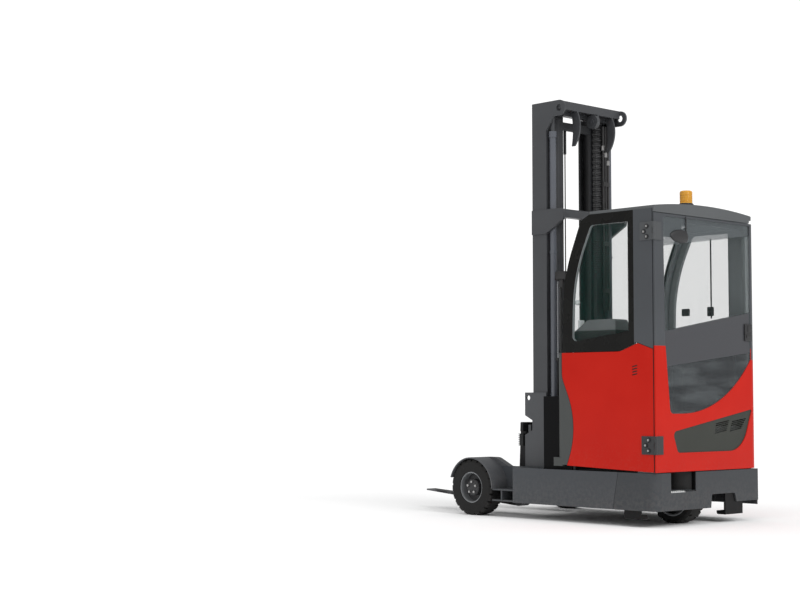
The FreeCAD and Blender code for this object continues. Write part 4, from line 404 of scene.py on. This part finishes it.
scuffed_red = (0.30, 0.10, 0.08, 1.0)
bare_moulding = (0.028, 0.030, 0.031, 1.0)


def red_lacquer(name):
    """Red lacquer over a slight ripple, scuffed in places low down."""
    made = Finish(name, Coat_Weight=0.06, Coat_Roughness=0.08, Specular_IOR_Level=0.09)
    ripple = made.noise(3.0, 2.0)
    grit = made.noise(70.0, 4.0, 0.6)
    film = grit.above(0.58, 0.2) * made.z.below(0.55, 0.5) * 0.12
    red_tone = ripple.colours((0.43, 0.008, 0.003, 1.0), (0.51, 0.014, 0.006, 1.0))
    made.give(
        Base_Color=film.colours(red_tone, scuffed_red),
        Roughness=0.30 + ripple * 0.10 + film,
    )
    return made.bump(made.noise(24.0, 1.0), 0.05, 0.0006)


skin_back_x, skin_side_y = -1.300, 0.622
door_lacquer = red_lacquer("door_lacquer")
skin_back = (door_lacquer.x.above(skin_back_x, 0.01)
             * door_lacquer.y.size().below(skin_side_y, 0.002))
door_lacquer.repaint(skin_back, bare_moulding)
wear(door_lacquer.material, "door_skin")

panel_back_y = 0.634
panel_lacquer = red_lacquer("panel_lacquer")
panel_back = panel_lacquer.y.size().below(panel_back_y, 0.0008)
panel_lacquer.repaint(panel_back, bare_moulding)
wear(panel_lacquer.material, "side_panels")

# Cab posts, roof, door frame. Folded and welded steel in a dark neutral grey powder
# coat, with the fine grain that such a coat has. The posts have a pale lining inside, and
# the door frame a black seal and a pale reveal on its right edge.

cab_grey = (0.054, 0.059, 0.066)
seal_black = (0.005, 0.005, 0.005, 1.0)
reveal_grey = (0.20, 0.22, 0.225, 1.0)
frame_face_x, seal_y, reveal_y, seal_low_z = -1.3465, -0.583, -0.490, 1.306
cab_coat = sprayed_steel("cab_coat", cab_grey, 0.44, dust=0.10, peel=0.35)
seal = cab_coat.y.below(seal_y, paint_edge) * cab_coat.z.above(seal_low_z, paint_edge)
cab_coat.repaint(seal, seal_black)
reveal = (cab_coat.x.above(frame_face_x, 0.001) * cab_coat.y.below(reveal_y, paint_edge)
          * cab_coat.y.above(seal_y, paint_edge))
cab_coat.repaint(reveal, reveal_grey)
wear(cab_coat.material, "door_frame")

lining_grey = (0.25, 0.27, 0.28, 1.0)
post_inside_y, lining_rear_x = 0.633, -1.325
post_coat = sprayed_steel("post_coat", cab_grey, 0.44, dust=0.10, peel=0.35)
lined = (post_coat.y.size().below(post_inside_y, 0.002)
         * post_coat.x.above(lining_rear_x, 0.006))
post_coat.repaint(lined, lining_grey)
wear(post_coat.material, "cab_frame")

roof_grey = (0.088, 0.094, 0.098)
roof_coat = sprayed_steel("roof_coat", roof_grey, 0.48, dust=0.10, peel=0.35)
wear(roof_coat.material, "roof")

# Front cover and the inset panel of the door. Deep-drawn plastic in its own colour,
# with a moulded leather-like grain.


def grained_plastic(name, dark, light, roughness, spread=0.14, patches=(5.0, 4.0),
                    pebbles=420.0, relief=0.25, shine=0.5):
    """Plastic in its own colour, pebbles to the metre moulded into its face."""
    made = Finish(name, Specular_IOR_Level=shine)
    pebble = made.place.node("TexVoronoi", inputs={"Vector": made.place, "Scale": pebbles})
    patch = made.noise(*patches)
    made.give(Base_Color=patch.colours(dark, light), Roughness=roughness + patch * spread)
    return made.bump(pebble, relief, 0.0005)


cover_plastic = grained_plastic(
    "cover_plastic", (0.040, 0.044, 0.043, 1.0), (0.056, 0.061, 0.059, 1.0), 0.50,
    patches=(4.0, 4.0))
wear(cover_plastic.material, "front_cover")
inset_plastic = grained_plastic(
    "inset_plastic", (0.027, 0.030, 0.025, 1.0), (0.042, 0.045, 0.038, 1.0), 0.48,
    shine=0.3)
wear(inset_plastic.material, "door_grille")

# Side windows. Toughened panes, faintly green, bonded behind a border of black enamel
# that is grey on the inside.

enamel = Finish("black_enamel", Specular_IOR_Level=0.16)
enamel_cloud = enamel.noise(6.0, 3.0)
border_inside_y = 0.6335
lining = enamel.y.size().below(border_inside_y, 0.001)
enamel.give(
    Base_Color=enamel_cloud.colours((0.004, 0.004, 0.004, 1.0), (0.010, 0.010, 0.009, 1.0)),
    Roughness=0.22 + enamel_cloud * 0.10 + lining * 0.3,
).repaint(lining, (0.24, 0.26, 0.265, 1.0))
wear(enamel.material, "window_frames")

glass_green = (0.008, 0.045, 0.036)
glass_alpha = 0.115
rim_grey = (0.020, 0.026, 0.024, 1.0)
rim_inside_y, rim_outside_y = 0.540, 0.598
side_tint = Finish("side_tint", IOR=1.5, Specular_IOR_Level=0.5)
side_smear = side_tint.noise(6.0, 5.0, 0.6, stretch=(1.0, 1.0, 0.3))
glass_rim = (side_tint.y.size().above(rim_inside_y, 0.010)
             * side_tint.y.size().below(rim_outside_y, paint_edge))
side_tint.give(
    Base_Color=side_smear.colours(tone(glass_green, 0.96), tone(glass_green, 1.04)),
    Roughness=0.03 + side_smear.above(0.6, 0.3) * 0.05,
    Alpha=glass_alpha + side_smear.above(0.62, 0.3) * 0.02 + glass_rim * 0.85,
).repaint(glass_rim, rim_grey)
wear(side_tint.material, "cab_glass")

# Sliding half of the right window. A black rail down its edge, with a moulded latch and
# a pull cap, all pressed on the inside of the pane.


def moulding(low, high, edge):
    """A moulded bar or cap between two corners, its edges rounded off."""
    low, high = Vector(low), Vector(high)
    clear_selection()
    bpy.ops.mesh.primitive_cube_add(size=1, location=(low + high) / 2)
    bar = bpy.context.object
    bar.scale = high - low
    settle(bar)
    bpy.ops.object.mode_set(mode="EDIT")
    bpy.ops.mesh.select_all(action="SELECT")
    bpy.ops.mesh.bevel(offset=edge, segments=3)
    bpy.ops.object.mode_set(mode="OBJECT")
    bpy.ops.object.shade_smooth_by_angle(angle=math.radians(40))
    return bar


grip_plastic = Finish("grip_plastic")
grip_grain = grip_plastic.noise(300.0, 2.0)
grip_plastic.give(
    Base_Color=grip_grain.colours((0.012, 0.012, 0.013, 1.0), (0.028, 0.028, 0.030, 1.0)),
    Roughness=0.45 + grip_grain * 0.15,
).bump(grip_grain, 0.3, 0.0004)
glass_and_glue = 0.0065
pane_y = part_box("cab_glass")[0][1] + glass_and_glue
latch_y = pane_y + 0.022
window_rail = moulding((-0.947, pane_y, 1.560), (-0.939, pane_y + 0.012, 2.190), 0.002)
latch_body = moulding((-0.968, pane_y, 1.578), (-0.912, pane_y + 0.024, 1.652), 0.008)
latch_bar = moulding((-0.955, latch_y, 1.600), (-0.925, latch_y + 0.014, 1.612), 0.004)
pull_cap = moulding((-0.734, pane_y, 1.587), (-0.661, pane_y + 0.020, 1.646), 0.007)
joined("window_slide", [window_rail, latch_body, latch_bar, pull_cap],
       grip_plastic, "chassis")

# Door pane. The same glass, greyer, with a lighter grey painted at its head for the lit
# header seen through it, and a slanting grey belt across it. Below the belt it is dusty
# inside, with wiped streaks.

door_tint = Finish("door_tint", IOR=1.5)
across, up = door_tint.y, door_tint.z
door_smear = door_tint.noise(5.0, 5.0, 0.6, stretch=(1.0, 1.0, 0.3))
streak = door_tint.noise(5.0, 4.0, 0.6, stretch=(1.0, 0.45, 3.0)).above(0.52, 0.30)
right_edge_y, grey_all_over = -0.530, 0.5
head_z, head_slope, head_left_y = 2.050, 0.13, 0.440
belt_top_z, belt_top_slope, belt_top_left_y = 1.426, 0.16, 0.466
belt_low_z, belt_low_slope, belt_low_left_y = 1.165, 0.114, 0.435
grey_share = across.below(right_edge_y, 0.012).larger(grey_all_over)
painted_header_light = (up - (head_left_y - across) * head_slope).above(head_z, 0.014)
under_belt_top = (up - (belt_top_left_y - across) * belt_top_slope).below(belt_top_z, 0.010)
low_pane = (up - (belt_low_left_y - across) * belt_low_slope).below(belt_low_z, 0.010)
belt = under_belt_top - low_pane
pane_grey = (0.050, 0.056, 0.061, 1.0)
header_light_grey = (0.165, 0.190, 0.200, 1.0)
belt_grey = (0.064, 0.061, 0.068, 1.0)
dusty = streak.colours((0.050, 0.056, 0.060, 1.0), (0.170, 0.190, 0.198, 1.0))
belt_and_header_cover = (belt * 0.88).larger(painted_header_light * 0.42)
door_tint.give(
    Base_Color=low_pane.colours(tone(glass_green, 1.0), dusty),
    Alpha=(glass_alpha + door_smear.above(0.62, 0.3) * 0.02
           + (low_pane * 0.34).larger(belt_and_header_cover)),
    Roughness=0.04 + door_smear.above(0.6, 0.3) * 0.05,
)
# A lighter grey painted at the head of the pane stands in for the lit header seen through it.
door_tint.repaint(painted_header_light, header_light_grey)
door_tint.repaint(belt, belt_grey)
door_tint.repaint(grey_share, pane_grey)
wear(door_tint.material, "door_glass")

# Fittings on the door. A moulded cover over the wiper's motor with the arm that runs up
# from it, and a black pull latch at the edge away from the hinges.

cover_middle = Vector((-1.349, 0.311, 2.118))
cover_reach = Vector((0.020, 0.106, 0.050))
cover_bow = 0.020
clear_selection()
bpy.ops.mesh.primitive_uv_sphere_add(segments=40, ring_count=20, location=cover_middle)
dome = bpy.context.object
dome.scale = cover_reach
settle(dome)
for vertex in dome.data.vertices:
    drop = (vertex.co.z - cover_middle.z) / cover_reach.z
    vertex.co.y += cover_bow * (1 - drop * drop)
bpy.ops.object.shade_smooth()
wiper_arm = moulding((-1.3570, 0.2505, 2.150), (-1.3500, 0.2590, 2.268), 0.003)
joined("wiper_cover", [dome, wiper_arm], grip_plastic, "door")

latch_right_y, latch_raised_x = -0.5440, -1.3585
door_plate = moulding((-1.3600, -0.5580, 1.370), (-1.3495, -0.4680, 1.498), 0.004)
pull = moulding((-1.3660, latch_right_y, 1.392), (latch_raised_x, -0.4820, 1.418), 0.003)
lock = moulding((-1.3640, latch_right_y, 1.440), (latch_raised_x, -0.5000, 1.484), 0.002)
joined("door_latch", [door_plate, pull, lock], grip_plastic, "door")

# Inside of the cab. A ribbed rubber mat lies on the floor, under the moulded console, the
# plinth that carries the driver's seat and a steering wheel in soft black plastic.

mat_rib_rate = 420.0
mat_rubber = Finish("mat_rubber")
rib = (mat_rubber.y * mat_rib_rate).sine()
mat_speck = mat_rubber.noise(60.0, 4.0)
mat_rubber.give(
    Base_Color=mat_speck.colours((0.014, 0.014, 0.015, 1.0), (0.045, 0.044, 0.042, 1.0)),
    Roughness=0.75 + mat_speck * 0.15,
).bump(rib.above(0.2, 0.5), 0.8, 0.002)
wear(mat_rubber.material, "cab_floor")

dash_shade_black = (0.012, 0.012, 0.012, 1.0)
dash_low_z, dash_high_z, foot_top_z = 1.20, 1.437, 0.450
dash_plastic = grained_plastic(
    "dash_plastic", (0.10, 0.105, 0.11, 1.0), (0.16, 0.165, 0.17, 1.0), 0.55,
    spread=0.1, patches=(5.0, 3.0), pebbles=500.0, relief=0.3)
# Shade painted near black on the face under the console's hood, and along the foot of the console
# and seat plinth.
under_hood_shade = dash_plastic.z.below(dash_high_z, 0.006) * dash_plastic.z.above(dash_low_z, 0.01)
dash_plastic.repaint(under_hood_shade, dash_shade_black)
dash_plastic.repaint(dash_plastic.z.below(foot_top_z, 0.006), dash_shade_black)
wear(dash_plastic.material, "console", "seat_plinth")

wear(grip_plastic.material, "steering_wheel")

# Reading lamp and display by the left window. A moulded ball of opal plastic, and below
# it a pale screen with rounded edges.

opal = Finish("opal_plastic", Specular_IOR_Level=0.5)
opal_cloud = opal.noise(60.0, 3.0)
opal.give(
    Base_Color=opal_cloud.colours((0.62, 0.66, 0.66, 1.0), (0.80, 0.84, 0.84, 1.0)),
    Roughness=0.25 + opal_cloud * 0.2,
)
lamp_radius, lamp_place = 0.020, (-0.590, 0.592, 1.651)
clear_selection()
bpy.ops.mesh.primitive_uv_sphere_add(
    segments=28, ring_count=14, radius=lamp_radius, location=lamp_place)
bpy.ops.object.shade_smooth()
joined("reading_lamp", [settle(bpy.context.object)], opal, "chassis")
screen = moulding((-0.6060, 0.530, 1.440), (-0.5920, 0.588, 1.520), 0.003)
joined("display", [screen], opal, "chassis")

# Driver's seat. Foam pads in dark woven cloth, fullest in the middle and drawn in along
# sewn channels and between their corners.

thread_rate = 2600.0
cloth = Finish("seat_cloth", Sheen_Weight=0.25)
warp = (cloth.x * thread_rate).sine()
weft = ((cloth.y + cloth.z) * thread_rate).sine()
fuzz = cloth.noise(500.0, 3.0)
weave = warp * weft * 0.5 + 0.5
cloth.give(
    Base_Color=weave.colours((0.014, 0.014, 0.016, 1.0), (0.050, 0.050, 0.055, 1.0)),
    Roughness=0.85 + fuzz * 0.1,
).bump(weave * 0.6 + fuzz * 0.4, 0.5, 0.0012)
channel_depth, waist, pad_fit = 0.10, 0.03, 0.985


def seat_pad(name, node, crown):
    """A swollen pad in the space of a CAD solid, its sides pulled in between corners."""
    low, high = (Vector(corner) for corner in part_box(node))
    middle, reach = (low + high) / 2, (high - low) / 2
    clear_selection()
    bpy.ops.mesh.primitive_cube_add(size=2, location=middle)
    pad = bpy.context.object
    pad.scale = reach * pad_fit
    settle(pad)
    bpy.ops.object.mode_set(mode="EDIT")
    bpy.ops.mesh.select_all(action="SELECT")
    bpy.ops.mesh.bevel(offset=min(reach) * 0.55, segments=3, profile=0.6)
    bpy.ops.mesh.subdivide(number_cuts=3)
    bpy.ops.object.mode_set(mode="OBJECT")
    thin = min(range(3), key=lambda axis: reach[axis])
    wide = [axis for axis in range(3) if axis != thin]
    for vertex in pad.data.vertices:
        part = [(vertex.co[axis] - middle[axis]) / reach[axis] for axis in range(3)]
        flat = (1 - part[wide[0]] ** 2) * (1 - part[wide[1]] ** 2)
        channel = 0.5 + 0.5 * math.cos(part[wide[0]] * 3 * math.pi)
        vertex.co[thin] = middle[thin] + part[thin] * reach[thin] * (
            1 - crown + crown * flat ** 0.5 - channel_depth * (1 - channel) ** 4)
        for axis, other in (wide, wide[::-1]):
            drawn_in = waist * (1 - part[other] ** 2)
            vertex.co[axis] -= (vertex.co[axis] - middle[axis]) * drawn_in
    smooth = pad.modifiers.new("smooth", "SUBSURF")
    smooth.levels = smooth.render_levels = 2
    bpy.ops.object.modifier_apply(modifier="smooth")
    bpy.ops.object.shade_smooth()
    pad.name = name
    pad.data.materials.append(cloth.material)
    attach(pad, "chassis")
    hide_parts(node)


seat_pad("seat_pad", "seat_cushion", 0.22)
seat_pad("back_pad", "seat_back", 0.30)

# Flashing beacon. A cap of clear amber plastic, moulded with rings that spread the
# light, on a black foot that is screwed to the roof.

lens_ring_rate = 700.0
amber = Finish("amber_lens", Coat_Weight=0.5, Emission_Strength=0.08)
band = (amber.z * lens_ring_rate).sine()
ridge = band.above(0.0, 1.2)
amber.give(
    Base_Color=ridge.colours((0.52, 0.20, 0.008, 1.0), (0.86, 0.46, 0.05, 1.0)),
    Emission_Color=ridge.colours((0.70, 0.22, 0.0, 1.0), (1.0, 0.42, 0.01, 1.0)),
    Roughness=0.14 + band * 0.03,
).bump(band, 0.8, 0.0015)
wear(amber.material, "beacon_lens")
wear(grip_plastic.material, "beacon_base")

# Hinges. Pressed leaves round a pin, black below and grey above. Three hexagon screws
# over round washers hold each leaf to the left post.

hinge_black = sprayed_steel("hinge_black", (0.020, 0.021, 0.022), 0.38, dust=0.05)
leaf_paint = sprayed_steel("leaf_paint", (0.030, 0.031, 0.033), 0.38, dust=0.05)
upper_leaf_grey = (0.066, 0.070, 0.074, 1.0)
leaf_paint.repaint(leaf_paint.z.above(1.3, 0.1), upper_leaf_grey)
wear(leaf_paint.material, "cab_hinges", "door_hinges")
leaf_face_y = 0.645
upper_leaf_z, lower_leaf_z = 2.137, 0.593
screw_width, screw_height = 0.017, 0.006
washer_radius, washer_round = 0.0130, 0.0042
screws, washers = [], []
for leaf_z in (upper_leaf_z, lower_leaf_z):
    for along, up in ((-1.293, 0.038), (-1.267, 0.0), (-1.292, -0.038)):
        place = (along, leaf_face_y, leaf_z + up)
        screws.append(bolt_head(screw_width, screw_height, place, (0, 1, 0)))
        clear_selection()
        bpy.ops.mesh.primitive_torus_add(
            major_radius=washer_radius, minor_radius=washer_round,
            major_segments=28, minor_segments=10,
            location=place, rotation=(math.pi / 2, 0, 0))
        bpy.ops.object.shade_smooth()
        washers.append(settle(bpy.context.object))
joined("hinge_screws", screws, zinc, "chassis")
joined("hinge_washers", washers, hinge_black, "chassis")

# Ribbed valve block on the left end of the fork plate. Die-cast and blackened, with
# seven cooling fins one above another.

fin_count, fin_pitch, fin_thickness, fin_low_z = 7, 0.0147, 0.0070, 0.5530
fins = []
for number in range(fin_count):
    low_z = fin_low_z + fin_pitch * number
    fins.append(moulding((0.1960, 0.318, low_z), (0.2460, 0.350, low_z + fin_thickness), 0.002))
valve_body = moulding((0.2000, 0.306, 0.5540), (0.2420, 0.343, 0.6470), 0.004)
joined("valve_block", fins + [valve_body], hinge_black, "fork_unit")

# Mast stages and their carriages. Rolled channel sections in dark grey, with shade painted
# near black on the tracks in which the rollers run.

rail_grey = tone(mast_grey, 0.78)[:3]
track_shade = (0.010, 0.010, 0.011, 1.0)


def shaded_rails(name, half_inside, behind):
    """Paint that goes over to painted black shade in the channels between the rails."""
    made = sprayed_steel(name, rail_grey, 0.34, dust=0.15)
    shade_cloud = made.noise(6.0, 4.0, 0.6, stretch=(1.0, 1.0, 0.2))
    # Shade painted near black, in patches, on the inner faces between the rails.
    track = made.y.size().below(half_inside, 0.004) * made.x.above(behind, 0.004)
    return made.repaint(track * (0.6 + shade_cloud * 0.6), track_shade)


track_rear_x, stage_step = -0.098, 0.006
outer_rails = shaded_rails("outer_rails", 0.380, track_rear_x)
middle_rails = shaded_rails("middle_rails", 0.306, track_rear_x + stage_step)
inner_rails = shaded_rails("inner_rails", 0.220, track_rear_x + stage_step * 2)
wear(outer_rails.material, "outer_mast")
wear(middle_rails.material, "middle_mast")
wear(inner_rails.material, "inner_mast")
carriage_paint = sprayed_steel("carriage_paint", mast_grey, 0.36, dust=0.15)
wear(carriage_paint.material, "reach_carriage", "fork_carriage")

# Cylinders. Drawn steel tube, sprayed a glossy grey on the two that stand behind the
# rails, and black on the free-lift cylinder and on the one that pushes the mast forward.

barrel_grey = (0.088, 0.095, 0.112)
barrel_paint = sprayed_steel("barrel_paint", barrel_grey, 0.20, dust=0.05, shine=0.9)
wear(barrel_paint.material, "lift_cylinders")
wear(hinge_black.material, "free_lift_cylinder", "reach_cylinder")

# Mast hoses. Black rubber hose, each run ending in a zinc-plated hexagon fitting near the
# head of its stage.

hose_rubber = Finish("hose_rubber")
hose_speck = hose_rubber.noise(120.0, 3.0)
hose_rubber.give(
    Base_Color=hose_speck.colours((0.012, 0.012, 0.013, 1.0), (0.035, 0.034, 0.034, 1.0)),
    Roughness=0.50 + hose_speck * 0.2,
).bump(hose_speck, 0.3, 0.0008)
wear(hose_rubber.material, "mast_hoses")

fitting_width, fitting_height, hose_x = 0.030, 0.034, -0.158
fittings = [
    bolt_head(fitting_width, fitting_height, (hose_x, hose_y, low_z), (0, 0, 1))
    for hose_y, low_z in ((-0.244, 2.949), (-0.274, 2.894), (-0.304, 2.830))]
joined("hose_fittings", fittings, zinc, "mast")
small_width, small_height, free_hose_x, free_hose_y = 0.019, 0.024, -0.056, 0.110
small_fittings = [
    bolt_head(small_width, small_height, (free_hose_x, free_hose_y, low_z), (0, 0, 1))
    for low_z in (3.090, 3.011, 2.902)]
joined("small_hose_fittings", small_fittings, zinc, "inner")

# Leaf chain of the left cylinder. Bright plates and rollers, hung from a black bracket
# on the outer mast with a hose beside it.

bright_steel = Finish("bright_steel", Metallic=1.0)
brushed = bright_steel.noise(8.0, 4.0, 0.6, stretch=(30.0, 30.0, 0.4))
bright_steel.give(
    Base_Color=brushed.colours((0.30, 0.31, 0.33, 1.0), (0.50, 0.51, 0.53, 1.0)),
    Roughness=0.26 + brushed * 0.14,
)
chain_x, chain_y = -0.1720, 0.330
chain_low, chain_high, chain_pitch = 1.250, 1.856, 0.019
roller_radius, roller_width = 0.0062, 0.026
plate_half_depth, plate_half_width, plate_end = 0.0050, 0.0016, 0.0085
clear_selection()
bpy.ops.mesh.primitive_cylinder_add(
    vertices=14, radius=roller_radius, depth=roller_width,
    location=(chain_x, chain_y, chain_low), rotation=(math.pi / 2, 0, 0))
roller = settle(bpy.context.object)
plates = []
for side in (-0.010, -0.003, 0.003, 0.010):
    plate_y = chain_y + side
    plates.append(moulding(
        (chain_x - plate_half_depth, plate_y - plate_half_width, chain_low - plate_end),
        (chain_x + plate_half_depth, plate_y + plate_half_width,
         chain_low + chain_pitch + plate_end), 0.0015))
lift_chain = joined("lift_chain", [roller] + plates, bright_steel, "mast")
row = lift_chain.modifiers.new("row", "ARRAY")
row.use_relative_offset = False
row.use_constant_offset = True
row.constant_offset_displace = (0, 0, chain_pitch)
row.count = int((chain_high - chain_low) / chain_pitch)
bpy.context.view_layer.objects.active = lift_chain
bpy.ops.object.modifier_apply(modifier="row")
bracket = moulding((-0.2620, 0.305, 1.862), (-0.1520, 0.352, 1.925), 0.008)
bracket_neck = moulding((-0.2250, 0.318, 1.800), (-0.1850, 0.342, 1.866), 0.006)
chain_anchor = moulding((-0.1790, 0.312, 1.222), (-0.1520, 0.348, 1.248), 0.004)
side_hose = moulding((-0.2040, 0.322, 0.166), (-0.1870, 0.339, 1.804), 0.007)
thin_hose = moulding((-0.2255, 0.326, 1.922), (-0.2185, 0.333, 2.354), 0.003)
joined("chain_bracket", [bracket, bracket_neck, chain_anchor, side_hose, thin_hose],
       hose_rubber, "mast")

# Hose guide. Links of dark plastic snapped together in a row, ribbed across, which carry
# the hoses up the middle stage.

link_pitch = 0.0147
link_plastic = Finish("link_plastic", Specular_IOR_Level=0.35)
link_cloud = link_plastic.noise(30.0, 3.0)
rung = (link_plastic.z * (math.tau / link_pitch)).sine().above(0.1, 0.5)
link_plastic.give(
    Base_Color=link_cloud.colours((0.050, 0.050, 0.052, 1.0), (0.085, 0.085, 0.088, 1.0)),
    Roughness=0.42 + link_cloud * 0.2,
).bump(rung * 0.8 + link_cloud * 0.2, 0.9, 0.0025)
link_gap = (0.012, 0.012, 0.013, 1.0)
link_plastic.repaint(1 - rung, link_gap)
wear(link_plastic.material, "energy_chain")

# Floor and sky. A pale sheet out to the horizon that keeps the soft shadow, under an
# even white sky that the glossy surfaces see dimmed.

floor_width = 160
bpy.ops.mesh.primitive_plane_add(size=floor_width, location=(0, 0, 0))
ground = bpy.context.object
ground.name = "ground"
ground_finish = Finish("ground_white", Specular_IOR_Level=0.0)
ground_cloud = ground_finish.noise(0.6)
ground_finish.give(
    Base_Color=ground_cloud.colours((0.97, 0.97, 0.97, 1.0), (0.99, 0.99, 0.99, 1.0)),
    Roughness=0.85 + ground_cloud * 0.1,
)
ground.data.materials.append(ground_finish.material)

world = bpy.data.worlds.new("studio")
bpy.context.scene.world = world
world.use_nodes = True
paths = world.node_tree.nodes.new("ShaderNodeLightPath")
seen = Wire(world.node_tree, paths.outputs["Is Camera Ray"])
glossy = Wire(world.node_tree, paths.outputs["Is Glossy Ray"])
through = Wire(world.node_tree, paths.outputs["Is Transmission Ray"])
background = world.node_tree.nodes["Background"]
background.inputs["Color"].default_value = (1.0, 1.0, 1.0, 1.0)
sky_level, glossy_drop, seen_rise = 0.72, 0.30, 0.40
level = sky_level - glossy * glossy_drop + seen.larger(through) * seen_rise
world.node_tree.links.new(level.socket, background.inputs["Strength"])


def sun(name, towards, spread, power):
    """A distant lamp that shines along towards, its disc spread degrees wide."""
    bpy.ops.object.light_add(type="SUN")
    lamp = bpy.context.object
    lamp.name = name
    lamp.data.angle = math.radians(spread)
    lamp.data.energy = power
    lamp.rotation_euler = Vector(towards).to_track_quat("-Z", "Y").to_euler()


sun("key_sun", (1.0, -0.10, -0.75), 30, 1.5)
sun("fill_sun", (0.1, -1.0, -0.9), 60, 0.5)

# Camera. It stands behind the truck and to its left, at waist height, and looks slightly
# upwards through a short telephoto lens.

stand_x, stand_y, stand_z = -8.4475, 9.7574, 0.9445
yaw, pitch = -0.7507662944, 0.0605938567
bpy.ops.object.camera_add(location=(stand_x, stand_y, stand_z))
camera = bpy.context.object
ahead = Vector((
    math.cos(yaw) * math.cos(pitch), math.sin(yaw) * math.cos(pitch), math.sin(pitch)))
camera.rotation_euler = ahead.to_track_quat("-Z", "Y").to_euler()
camera.data.lens = 71.54
camera.data.sensor_width = 36.0
camera.data.clip_end = 200.0
bpy.context.scene.camera = camera
bpy.context.scene.view_settings.view_transform = "Standard"
